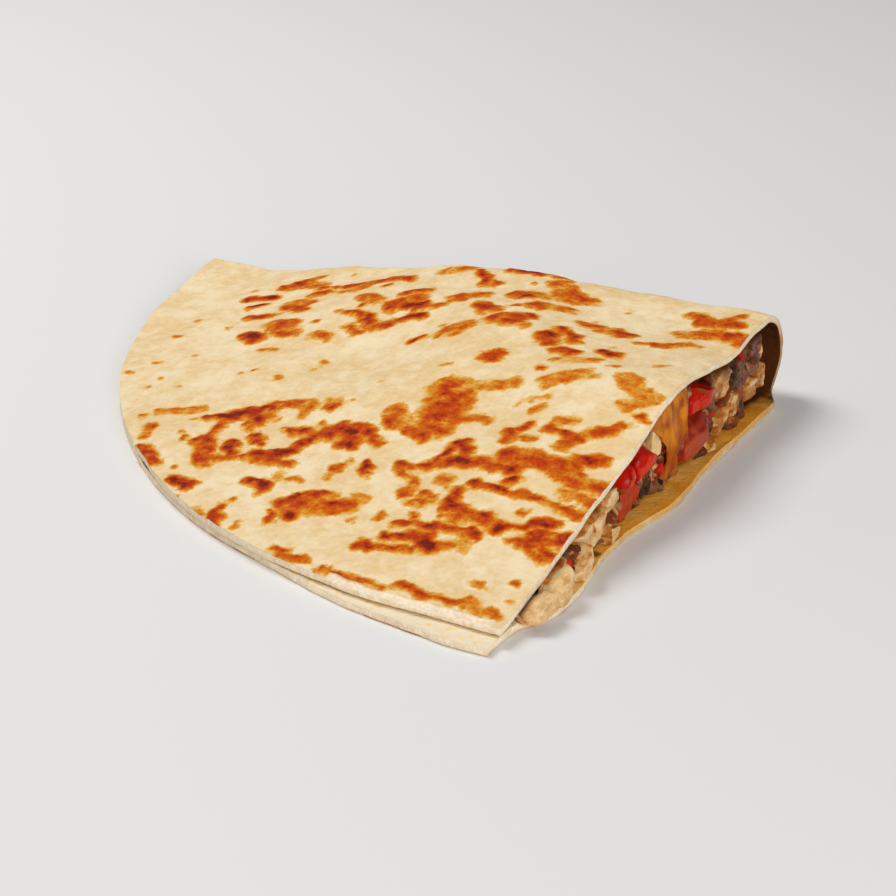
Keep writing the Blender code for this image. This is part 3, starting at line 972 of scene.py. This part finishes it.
class Shade:
    """A shader socket. Sums on it add Math nodes, and make adds any other node."""

    def __init__(self, tree, socket=None):
        self.tree = tree
        self.socket = socket

    def make(self, kind, sockets=(), output=0, stops=None, **settings):
        """Adds a node: its settings first, a ramp's stops next, then the values or links of its sockets."""
        node = self.tree.nodes.new("ShaderNode" + kind)
        for name, value in settings.items():
            setattr(node, name, value)
        if stops:
            ramp = node.color_ramp
            for _ in range(len(stops) - 2):
                ramp.elements.new(0.5)
            for element, (place, colour) in zip(ramp.elements, stops):
                element.position = place
                element.color = (*colour, 1)
        for name, value in dict(sockets).items():
            socket = node.inputs[name]
            if isinstance(value, Shade):
                self.tree.links.new(value.socket, socket)
            else:
                socket.default_value = value
        return Shade(self.tree, node.outputs[output])

    def calculate(self, operation, first, second):
        return self.make("Math", {0: first, 1: second}, operation=operation)

    def __add__(self, other):
        return self.calculate("ADD", self, other)

    __radd__ = __add__

    def __mul__(self, other):
        return self.calculate("MULTIPLY", self, other)

    __rmul__ = __mul__

    def __sub__(self, other):
        return self.calculate("SUBTRACT", self, other)

    def __rsub__(self, other):
        return self.calculate("SUBTRACT", other, self)

    def between(self, low, high):
        """0 where the socket is below low, 1 above high, and smooth between them."""
        sockets = {"Value": self, "From Min": low, "From Max": high}
        return self.make("MapRange", sockets, interpolation_type="SMOOTHSTEP")

    def ramp(self, *stops, interpolation="LINEAR"):
        """Colours along a ramp of stops, each a place from 0 to 1 and a colour."""
        shade = self.make("ValToRGB", {"Fac": self}, stops=stops)
        shade.socket.node.color_ramp.interpolation = interpolation
        return shade

    def blend(self, low, high):
        """One colour where the socket is 0, and the other where it is 1."""
        low, high = (x if isinstance(x, Shade) else (*x, 1) for x in (low, high))
        return self.make("Mix", {0: self, 6: low, 7: high}, output=2, data_type="RGBA")

    def value(self, name):
        """A value stored on the mesh's points."""
        return self.make("Attribute", output=2, attribute_name=name)

    def noise(self, size, detail=2.0, rough=0.5, stretch=(1, 1, 1)):
        """A soft random pattern with features of about this size in metres."""
        place = self.make("TexCoord", output=3)
        place = self.make("Mapping", {"Vector": place, "Scale": stretch})
        sockets = {"Vector": place, "Scale": 1 / size, "Detail": detail, "Roughness": rough}
        return self.make("TexNoise", sockets)

    def relief(self, height, depth, strength):
        """Bumps from a height from 0 to 1."""
        return self.make("Bump", {"Height": height, "Distance": depth, "Strength": strength})


def food_material(name, paint, specular, coat=(0, 0.03), scatter=(0, (1, 0.2, 0.1))):
    """A material whose paint function returns what changes over the surface, by socket name.

    Coat is its weight and roughness, and scatter is the subsurface weight and radius.
    """
    material = bpy.data.materials.new(name)
    material.use_nodes = True
    tree = material.node_tree
    shader = tree.nodes["Principled BSDF"]
    constants = {
        "Specular IOR Level": specular,
        "Coat Weight": coat[0],
        "Coat Roughness": coat[1],
        "Subsurface Weight": scatter[0],
        "Subsurface Radius": scatter[1],
    }
    for socket, value in constants.items():
        shader.inputs[socket].default_value = value
    for socket, shade in paint(Shade(tree)).items():
        tree.links.new(shade.socket, shader.inputs[socket])
    return material


def tortilla_material(settings):
    """Floury outside with browned spots, stained inside with painted shade in the fold, and open crumb at the
    edges.
    """
    pale, warm = tuple(settings.pale), tuple(settings.warm)

    def paint(shade):
        toast, stain, soak_and_shade = shade.value("toast"), shade.value("stain"), shade.value("soak_and_shade")
        rim, side = shade.value("rim"), shade.value("side")
        coarse, fine = shade.noise(0.0028, 3, 0.6), shade.noise(0.0009, 3, 0.65)

        # Outside: floury crumb, and browning that breaks up into spots
        browning = toast + (coarse - 0.5) * (toast + 0.15) * 1.3 + (fine - 0.5) * 0.46
        browning = browning + (shade.noise(0.0055) - 0.5) * toast * 1.1
        mottle = shade.noise(0.013, 4, 0.65) * 0.6 + shade.noise(0.0035, 3, 0.6) * 0.4
        flour = shade.noise(0.0014, 4, 0.7).between(0.38, 0.66)
        crumb = mottle.between(0.40, 0.62).blend(warm, pale)
        crumb = (flour * 0.30).blend(crumb, tuple(min(1, 1.10 * x) for x in pale))
        toasted = browning.ramp(
            (0.14, warm), (0.26, (0.80, 0.45, 0.105)), (0.40, (0.74, 0.275, 0.020)),
            (0.56, (0.64, 0.132, 0.003)), (0.74, (0.52, 0.052, 0.001)),
            (0.90, (0.37, 0.028, 0.002)), (1.00, (0.18, 0.014, 0.003)),
        )
        outer = browning.between(0.10, 0.24).blend(crumb, toasted)

        # Inside: oily and stained by the filling, dark where sauce has soaked in, and with painted shade in
        # the fold and under the filling
        wet = (stain + (coarse - 0.5) * 0.9).ramp(
            (0.03, (0.90, 0.76, 0.54)), (0.14, (0.93, 0.68, 0.32)), (0.36, (0.92, 0.58, 0.16)),
            (0.66, (0.92, 0.45, 0.06)), (1.00, (0.88, 0.35, 0.03)),
        )
        inner = (soak_and_shade + (coarse - 0.5) * 0.6).between(0.25, 0.95).blend(wet, (0.085, 0.024, 0.006))
        skin = side.between(0.55, 0.95).blend(outer, inner)

        # Edge: open crumb with an oily lower rim and a toasted line under the outer skin
        open_crumb = (fine * 0.6 + coarse * 0.4).between(0.38, 0.62)
        oily = (stain + (coarse - 0.5) * 0.8).between(0.35, 0.85)
        toast_line = toast.between(0.45, 0.85) * side.between(0.2, 0.45)
        edge = open_crumb.blend((0.84, 0.66, 0.43), (0.95, 0.83, 0.64))
        edge = (oily * 0.9).blend(edge, (0.70, 0.39, 0.095))
        # Painted shade on the rim by the fold, with sauce
        edge = (soak_and_shade * 0.9).blend(edge, (0.30, 0.125, 0.028))
        edge = toast_line.blend(edge, (0.56, 0.20, 0.03))
        wetness = side.between(0.6, 1.0) * (1 - rim)
        height = fine * 0.5 + coarse + browning.between(0.2, 0.7) * 0.5
        return {
            "Base Color": rim.between(0.25, 0.75).blend(skin, edge),
            "Roughness": 0.80 - wetness * 0.38 - browning.between(0.4, 0.8) * 0.16,
            "Normal": shade.relief(height, 0.0005, 0.8),
        }

    return food_material("Toasted tortilla", paint, 0.07)


def bed_material():
    """Each lump has the colour of its kind: meat, pepper, mushroom, onion or char, under sauce, with painted
    shade where lumps meet and under the upper leaf.
    """

    def paint(shade):
        kind, painted_crevice_shade, sauce = shade.value("kind"), shade.value("painted_crevice_shade"), shade.value("sauce")
        fine, coarse = shade.noise(0.0009, 3, 0.6), shade.noise(0.0028, 3, 0.55)
        lumps = kind.ramp(
            (0.00, (0.22, 0.045, 0.008)), (0.20, (0.42, 0.13, 0.018)), (0.36, (0.70, 0.42, 0.17)),
            (0.54, (0.42, 0.012, 0.004)), (0.64, (0.17, 0.085, 0.042)), (0.76, (0.56, 0.25, 0.045)),
            (0.90, (0.04, 0.018, 0.010)),
            interpolation="CONSTANT",
        )
        worn = (fine * 0.5 + coarse * 0.5).between(0.38, 0.62)
        lumps = (worn * 0.45).blend(lumps, (0.33, 0.09, 0.016))
        wet = (sauce * 0.8 + (coarse - 0.5) * 1.4).between(0.10, 0.85)
        colour = (wet * 0.85).blend(lumps, (0.17, 0.032, 0.007))
        # Painted shade where lumps meet and under the upper leaf
        return {
            "Base Color": (painted_crevice_shade * 0.9).blend(colour, (0.045, 0.010, 0.003)),
            "Roughness": 0.50 - wet * 0.22,
            "Normal": shade.relief(fine + coarse * 0.6, 0.0005, 0.6),
        }

    return food_material("Sauced filling", paint, 0.12, coat=(0.04, 0.15))


def chicken_material(settings):
    """Pale meat with fibres where it is cut, seared outside, with sauce on it and painted shade under the
    upper leaf.
    """
    light = tuple(settings.chicken)

    def paint(shade):
        cut, sauce = shade.value("cut"), shade.value("sauce")
        fibre = shade.noise(0.0012, 4, 0.65, (1, 0.20, 1))
        coarse, fine = shade.noise(0.0030, 3, 0.6), shade.noise(0.0007, 2, 0.6)
        meat = (fibre * 0.6 + coarse * 0.4).between(0.38, 0.62).blend((0.64, 0.36, 0.13), light)
        seared = (coarse * 0.7 + fibre * 0.3).ramp(
            (0.38, (0.32, 0.08, 0.01)), (0.48, (0.56, 0.21, 0.035)), (0.60, (0.72, 0.40, 0.14))
        )
        body = (cut + (coarse - 0.5) * 0.9).between(0.20, 0.60).blend(seared, meat)
        coat = (sauce * (1 - cut * 0.45) + (coarse - 0.5) * 2.2).between(0.52, 0.95)
        colour = (coat * 0.85).blend(body, (0.40, 0.12, 0.015))
        # Painted shade right under the upper leaf
        return {
            "Base Color": (shade.value("painted_crevice_shade") * 0.85).blend(colour, (0.07, 0.018, 0.005)),
            "Roughness": 0.55 - coat * 0.26,
            "Normal": shade.relief(fibre + fine * 0.4, 0.0005, 0.8),
        }

    return food_material("Cooked chicken", paint, 0.08, scatter=(0.10, (0.004, 0.002, 0.001)))


def wet_material(name, deep, bright, pale, gloss, subsurface=0.1):
    """Skin or flesh of a cooked vegetable: deep and bright colours, and a paler cut face."""

    def paint(shade):
        cut, sauce = shade.value("cut"), shade.value("sauce")
        coarse, fine = shade.noise(0.0032, 3, 0.55), shade.noise(0.0009, 2, 0.6)
        flesh = coarse.between(0.35, 0.68).blend(deep, bright)
        opened = (cut * 0.8 + (fine - 0.5) * 0.6).between(0.35, 0.9).blend(flesh, pale)
        coat = (sauce * (1 - cut * 0.5) + (coarse - 0.5) * 0.8).between(0.55, 0.95)
        return {
            "Base Color": coat.blend(opened, (0.30, 0.06, 0.01)),
            "Roughness": gloss + fine * 0.16,
            "Normal": shade.relief(coarse + fine * 0.3, 0.0003, 0.5),
        }

    scatter = (subsurface, (0.003, 0.001, 0.0006))
    return food_material(name, paint, 0.10, coat=(0.06, 0.10), scatter=scatter)


def cheese_material(settings):
    """Strands of melted cheese, darker with sauce towards the lower end."""
    light, dark = tuple(settings.cheese_light), tuple(settings.cheese_dark)

    def paint(shade):
        strands, coarse = shade.noise(0.0022, 3, 0.6, (1, 1, 0.4)), shade.noise(0.005, 3)
        tone = strands * 0.7 + coarse * 0.6 - shade.value("soaked") * 0.22 - 0.10
        return {
            "Base Color": tone.between(0.30, 0.66).blend(dark, light),
            "Roughness": 0.22 + strands * 0.2,
            "Normal": shade.relief(strands + coarse, 0.0004, 0.5),
        }

    scatter = (0.15, (0.004, 0.002, 0.0008))
    return food_material("Melted cheese", paint, 0.08, coat=(0.03, 0.15), scatter=scatter)


def bit_material(name, dark, light, gloss):
    """Small pieces of one kind, each of its own shade."""

    def paint(shade):
        own, coarse, fine = shade.value("shade"), shade.noise(0.0014, 3, 0.6), shade.noise(0.0005, 2, 0.6)
        return {
            "Base Color": (own * 0.7 + (coarse - 0.5) * 1.2).between(0.05, 0.75).blend(dark, light),
            "Roughness": gloss + fine * 0.2,
            "Normal": shade.relief(coarse + fine * 0.5, 0.0002, 0.6),
        }

    return food_material(name, paint, 0.12, coat=(0.05, 0.03))


def plain_material(name, colour, roughness):
    material = bpy.data.materials.new(name)
    material.use_nodes = True
    shader = material.node_tree.nodes["Principled BSDF"]
    shader.inputs["Base Color"].default_value = (*colour, 1)
    shader.inputs["Roughness"].default_value = roughness
    return material


# Settings


class TortillaSettings(PropertyGroup):
    thickness: FloatProperty(
        name="Thickness", description="Thickness of the tortilla", default=SHEET_THICK, unit="LENGTH"
    )
    blister: FloatProperty(
        name="Blister height", description="How far browned blisters rise", default=0.00035, unit="LENGTH"
    )
    pale: FloatVectorProperty(
        name="Pale", description="Colour of untoasted tortilla", default=(0.89, 0.722, 0.46), subtype="COLOR"
    )
    warm: FloatVectorProperty(
        name="Warm", description="Colour of warmer areas", default=(0.80, 0.56, 0.27), subtype="COLOR"
    )


class FillingSettings(PropertyGroup):
    lump: FloatProperty(
        name="Lump size", description="Size of the lumps in the bed", default=BED_CELL, unit="LENGTH"
    )
    chicken: FloatVectorProperty(
        name="Chicken", description="Lightest chicken", default=(0.84, 0.60, 0.32), subtype="COLOR"
    )
    cheese_light: FloatVectorProperty(
        name="Cheese, light", description="Lightest cheese", default=(0.64, 0.215, 0.01), subtype="COLOR"
    )
    cheese_dark: FloatVectorProperty(
        name="Cheese, dark", description="Cheese in sauce", default=(0.30, 0.046, 0.003), subtype="COLOR"
    )


class StageSettings(PropertyGroup):
    floor: FloatVectorProperty(
        name="Floor", description="Colour of the floor", default=(0.80, 0.79, 0.78), subtype="COLOR"
    )
    key: FloatProperty(name="Key light", description="Power of the large soft light", default=6.5, min=0)
    fill: FloatProperty(name="Fill light", description="Power of the light from the side", default=7.6, min=0)
    sky: FloatProperty(name="Surround", description="Strength of the light all round", default=0.28, min=0)


# Operators


class QUESADILLA_OT_tortilla(Operator):
    """Folded, toasted tortilla with browned blisters and pale cut edges"""

    bl_idname = "quesadilla.tortilla"
    bl_label = "Tortilla"

    def execute(self, context):
        settings = context.scene.quesadilla_tortilla
        mesh = tortilla_mesh(settings)
        new_object("toasted_tortilla", mesh, tortilla_material(settings), ["tortilla"])
        return {"FINISHED"}


class QUESADILLA_OT_bed(Operator):
    """Bed of chopped filling, sauce and cheese between the leaves"""

    bl_idname = "quesadilla.bed"
    bl_label = "Filling bed"

    def execute(self, context):
        mesh = bed_mesh(context.scene.quesadilla_filling)
        new_object("filling_bed", mesh, bed_material(), ["filling"])
        return {"FINISHED"}


class QUESADILLA_OT_chicken(Operator):
    """Pieces of chicken that show at the cut"""

    bl_idname = "quesadilla.chicken"
    bl_label = "Chicken"

    def execute(self, context):
        material = chicken_material(context.scene.quesadilla_filling)
        growth = {
            "tip": (1.2, 1.0, 1.5),
            "slice": (1.2, 1.15, 1.15),
            "crumb": (1.2, 1.35, 1.3),
            "chunk": (1.2, 1.25, 1.2),
            "cube": (1.3, 1.25, 1.25),
            "end": (1.0, 1.0, 1.1),
        }
        for seed, (name, size) in enumerate(growth.items(), start=SEEDS["chicken"]):
            morsel = Morsel("chicken_" + name, seed, size)
            morsel.slice_flat(8, 0.72)
            morsel.knife_cut()
            morsel.soften(6)
            morsel.roughen((0.00036, (0.006, 0.005, 0.002)), layers=3)
            morsel.roughen((0.00024, (0.006, 0.005, 0.001)), (0.00012, 0.0013))
            morsel.finish(material)
        return {"FINISHED"}


class QUESADILLA_OT_chopped_chicken(Operator):
    """Chopped chicken packed in between the larger pieces"""

    bl_idname = "quesadilla.chopped_chicken"
    bl_label = "Chopped chicken"

    def execute(self, context):
        rng, grain = np.random.default_rng(SEEDS["chopped"]), Grain(SEEDS["fibres"])
        material = chicken_material(context.scene.quesadilla_filling)
        pieces = [chopped_piece(row, rng, grain) for row in CHOPPED]
        mesh = gather("chopped_chicken", pieces, material).data
        soften(mesh, 4)
        spots, facing = points_of(mesh), normals_of(mesh)
        by_fold, by_tip = painted_shade_by_fold(spots), smooth(*TIP_START, FOLD_Y - spots[:, 1])
        # By the fold the pieces are painted darker, as shade, through less cut face and more sauce
        cut = smooth(0.3, 0.9, facing[:, 0] - 0.3 * facing[:, 1]) * (1 - 0.6 * by_fold)
        coat = grain.layered(spots + 5, 0.004) - 0.5 * facing[:, 2] + 0.35 * by_fold - 0.2 * by_tip
        point_value(mesh, "cut", np.maximum(cut, by_tip * (0.42 + 0.25 * facing[:, 2])))
        point_value(mesh, "sauce", smooth(0.0, 0.6, coat))
        # Painted shade right under the upper leaf
        point_value(mesh, "painted_crevice_shade", painted_shade_under_leaf(spots))
        return {"FINISHED"}


class QUESADILLA_OT_peppers(Operator):
    """Pieces of red pepper and tomato that show at the cut"""

    bl_idname = "quesadilla.peppers"
    bl_label = "Peppers and tomato"

    def execute(self, context):
        pepper = wet_material(
            "Red pepper", (0.300, 0.003, 0.001), (0.540, 0.009, 0.002), (0.620, 0.040, 0.010), 0.16
        )
        tomato = wet_material(
            "Tomato", (0.170, 0.004, 0.002), (0.400, 0.014, 0.004), (0.470, 0.042, 0.010), 0.14
        )
        growth = {"strip": (1.2, 1.15, 1.2), "dice": (1.4, 1.4, 1.3), "scrap": (1.2, 1.3, 1.3)}
        for seed, (name, size) in enumerate(growth.items(), start=SEEDS["peppers"]):
            morsel = Morsel("pepper_" + name, seed, size)
            morsel.slice_flat(4, 0.80)
            _, along, up = morsel.local().T
            morsel.points[:, 2] -= 0.0011 * along**2
            morsel.points[:, 0] += 0.0006 * (1 - along**2 - up**2)
            morsel.roughen((0.0006, 0.0055), (0.00014, 0.0022))
            morsel.finish(pepper)
        morsel = Morsel("tomato", SEEDS["tomato"], (1.2, 1.1, 1.2))
        morsel.knife_cut()
        morsel.roughen((0.0009, 0.0040), layers=3)
        morsel.finish(tomato)
        return {"FINISHED"}


class QUESADILLA_OT_beans(Operator):
    """The dark red bean and the black olive"""

    bl_idname = "quesadilla.beans"
    bl_label = "Bean and olive"

    def execute(self, context):
        bean = wet_material(
            "Kidney bean", (0.170, 0.010, 0.004), (0.400, 0.032, 0.010), (0.460, 0.070, 0.020), 0.16
        )
        olive = wet_material(
            "Black olive", (0.006, 0.004, 0.004), (0.030, 0.018, 0.014), (0.050, 0.030, 0.018), 0.15
        )
        morsel = Morsel("kidney_bean", SEEDS["bean"], (1.25, 1.1, 1.12))
        _, along, up = morsel.local().T
        morsel.points[:, 2] -= 0.0012 * hill(along, 0, 0.35) * smooth(0.0, 0.8, up)
        morsel.roughen((0.00012, 0.006), layers=1)
        morsel.finish(bean)
        morsel = Morsel("olive", SEEDS["olive"], (1.0, 1.15, 1.1))
        out, along, up = morsel.local().T
        morsel.points[:, 0] -= 0.0022 * hill(np.hypot(along, up), 0, 0.4) * smooth(0.0, 0.7, out)
        morsel.knife_cut(OLIVE_DEPTH)
        morsel.roughen((0.0003, 0.003))
        morsel.finish(olive)
        return {"FINISHED"}


class QUESADILLA_OT_onion(Operator):
    """Strip of fried onion"""

    bl_idname = "quesadilla.onion"
    bl_label = "Onion"

    def execute(self, context):
        material = wet_material(
            "Fried onion", (0.56, 0.29, 0.075), (0.78, 0.48, 0.18), (0.86, 0.61, 0.30), 0.22, subsurface=0.3
        )
        morsel = Morsel("onion_strip", SEEDS["onion"], (1.2, 1.1, 1.05))
        out, along, up = morsel.local().T
        morsel.points[:, 1] += 0.0009 * (1 - up**2) + 0.00022 * np.sin(along * 9) * smooth(0.2, 0.8, out)
        morsel.knife_cut()
        morsel.roughen((0.0004, (0.005, 0.0016, 0.006)), (0.0001, 0.002))
        morsel.finish(material)
        return {"FINISHED"}


class QUESADILLA_OT_mushrooms(Operator):
    """Fried mushroom with gills"""

    bl_idname = "quesadilla.mushrooms"
    bl_label = "Mushrooms"

    def execute(self, context):
        material = wet_material(
            "Fried mushroom", (0.040, 0.016, 0.007), (0.150, 0.068, 0.026), (0.230, 0.115, 0.045), 0.34
        )
        for seed, name in enumerate(("slice", "scrap"), start=SEEDS["mushrooms"]):
            morsel = Morsel("mushroom_" + name, seed, (1.2, 1.15, 1.1))
            out, along, up = morsel.local().T
            cap = smooth(-0.15, 0.25, up)
            under_cap = hill(up, 0.15, 0.16) * smooth(0.25, 0.7, np.abs(along))
            morsel.points[:, 1] += (cap - 0.45) * 0.8 * (morsel.points[:, 1] - morsel.middle[1])
            morsel.points[:, 2] -= 0.0016 * cap * along**2
            morsel.knife_cut()
            morsel.points[:, 0] -= 0.0010 * under_cap * smooth(0.1, 0.6, out)
            morsel.roughen((0.0005, (0.004, 0.003, 0.0016)), layers=3)
            morsel.finish(material)
        return {"FINISHED"}


class QUESADILLA_OT_cheese(Operator):
    """Sheet of melted cheese that hangs from the upper leaf over the cut"""

    bl_idname = "quesadilla.cheese"
    bl_label = "Melted cheese"

    def execute(self, context):
        material = cheese_material(context.scene.quesadilla_filling)
        new_object("cheese_sheet", cheese_mesh(), material, ["melted_cheese"])
        return {"FINISHED"}


class QUESADILLA_OT_bits(Operator):
    """Loose bits at the cut: minced meat, diced pepper and onion, char and beads of sauce"""

    bl_idname = "quesadilla.bits"
    bl_label = "Loose bits"

    def execute(self, context):
        rng, grain = np.random.default_rng(SEEDS["bits"]), Grain(SEEDS["bit shapes"])
        bed, leaves = Surface("filling_bed"), Surface("filling_bed", "toasted_tortilla")
        out = CUT_X + 0.03

        def at_cut(count, v_range, share_range):
            """Rays at the cut, between the leaves: share 0 is on the lower leaf and 1 under the upper."""
            v = rng.uniform(*v_range, count)
            room = upper_z_at_cut(v) - 2 * SHEET_THICK
            z = SHEET_THICK + room * rng.uniform(*share_range, count)
            return [((out, FOLD_Y - a, b), (-1, 0, 0)) for a, b in zip(v, z)]

        # For each kind its name, how many, their size, slot, material name, darkest and lightest colour
        # and gloss
        kinds = (
            ("minced_bits", 34, (0.0012, 0.0026), "chicken",
             "Minced meat", (0.11, 0.032, 0.010), (0.42, 0.190, 0.070), 0.45),
            ("pepper_bits", 14, (0.0014, 0.0028), "pepper",
             "Diced pepper", (0.30, 0.006, 0.002), (0.56, 0.018, 0.005), 0.20),
            ("onion_bits", 12, (0.0012, 0.0026), "onion",
             "Diced onion", (0.48, 0.260, 0.080), (0.80, 0.580, 0.300), 0.30),
            ("char_bits", 7, (0.0008, 0.0016), "mushroom",
             "Char", (0.02, 0.010, 0.006), (0.08, 0.035, 0.015), 0.50),
        )
        for name, count, size, slot, *look in kinds:
            places = at_cut(count, (0.014, 0.138), (0.05, 0.95))
            pieces = scattered_bits(bed, places, rng, grain, size, (0.6, 1.0), 0.6, 0.45)
            gather(name, pieces, bit_material(*look))
        places = at_cut(30, (0.02, 0.14), (0, 0.5))
        beads = scattered_bits(leaves, places, rng, grain, (0.0006, 0.0015), (0.5, 0.8), 0.0, 0.60)
        sauce = bit_material("Sauce", (0.200, 0.035, 0.006), (0.420, 0.110, 0.015), 0.12)
        gather("sauce_beads", beads, sauce)
        return {"FINISHED"}


class QUESADILLA_OT_stage(Operator):
    """Pale floor, soft lights and the camera"""

    bl_idname = "quesadilla.stage"
    bl_label = "Stage"

    def execute(self, context):
        settings = context.scene.quesadilla_stage
        scene = context.scene
        corners = [(x * FLOOR_HALF, y * FLOOR_HALF, -CLEAR) for x, y in FLOOR_CORNERS]
        floor = placed("floor", mesh_from("floor", corners, [(0, 1, 2, 3)]))
        floor.data.materials.append(plain_material("Floor", settings.floor, 0.6))

        world = bpy.data.worlds.new("Surround")
        world.use_nodes = True
        background = world.node_tree.nodes["Background"]
        background.inputs["Color"].default_value = (1, 1, 1, 1)
        background.inputs["Strength"].default_value = settings.sky
        scene.world = world
        scene.view_settings.view_transform = "Standard"

        self.add_light("key", KEY_PLACE, KEY_SIZE, settings.key)
        self.add_light("fill", FILL_PLACE, FILL_SIZE, settings.fill)
        self.add_camera(scene)
        return {"FINISHED"}

    def add_light(self, name, place, size, power):
        """Adds a round soft light that points at the middle of the wedge."""
        light = bpy.data.lights.new(name, "AREA")
        light.shape = "DISK"
        light.size = size
        light.energy = power
        obj = placed(name, light)
        obj.location = place
        obj.rotation_euler = (-Vector(place)).to_track_quat("-Z", "Y").to_euler()

    def add_camera(self, scene):
        """Stands above and to the right of the cut side, and looks at the wedge."""
        corner = Vector((CUT_X, FOLD_Y, 0))
        camera = bpy.data.cameras.new("camera")
        camera.lens = LENS
        camera.sensor_width = SENSOR
        obj = placed("camera", camera)
        look = (TARGET - EYE).to_track_quat("-Z", "Y")
        roll = Matrix.Rotation(ROLL, 4, "Z")
        obj.matrix_world = Matrix.Translation(corner + EYE) @ look.to_matrix().to_4x4() @ roll
        scene.camera = obj


class QUESADILLA_PT_panel(Panel):
    """Buttons for each group of pieces"""

    bl_label = "Quesadilla"
    bl_idname = "QUESADILLA_PT_panel"
    bl_space_type = "VIEW_3D"
    bl_region_type = "UI"
    bl_category = "Quesadilla"

    def draw(self, context):
        for kind in OPERATORS:
            self.layout.operator(kind.bl_idname)
        for group in GROUPS:
            settings = getattr(context.scene, group)
            for name in settings.__annotations__:
                self.layout.prop(settings, name)


OPERATORS = (
    QUESADILLA_OT_tortilla,
    QUESADILLA_OT_bed,
    QUESADILLA_OT_cheese,
    QUESADILLA_OT_chicken,
    QUESADILLA_OT_chopped_chicken,
    QUESADILLA_OT_peppers,
    QUESADILLA_OT_beans,
    QUESADILLA_OT_onion,
    QUESADILLA_OT_mushrooms,
    QUESADILLA_OT_bits,
    QUESADILLA_OT_stage,
)
GROUPS = {
    "quesadilla_tortilla": TortillaSettings,
    "quesadilla_filling": FillingSettings,
    "quesadilla_stage": StageSettings,
}


def register():
    for kind in (*GROUPS.values(), *OPERATORS, QUESADILLA_PT_panel):
        bpy.utils.register_class(kind)
    for name, group in GROUPS.items():
        setattr(bpy.types.Scene, name, PointerProperty(type=group))


def unregister():
    for name in GROUPS:
        delattr(bpy.types.Scene, name)
    for kind in reversed((*GROUPS.values(), *OPERATORS, QUESADILLA_PT_panel)):
        bpy.utils.unregister_class(kind)


def main():
    """Builds every piece in turn."""
    register()
    for kind in OPERATORS:
        group, name = kind.bl_idname.split(".")
        getattr(getattr(bpy.ops, group), name)()


if __name__ == "__main__":
    main()
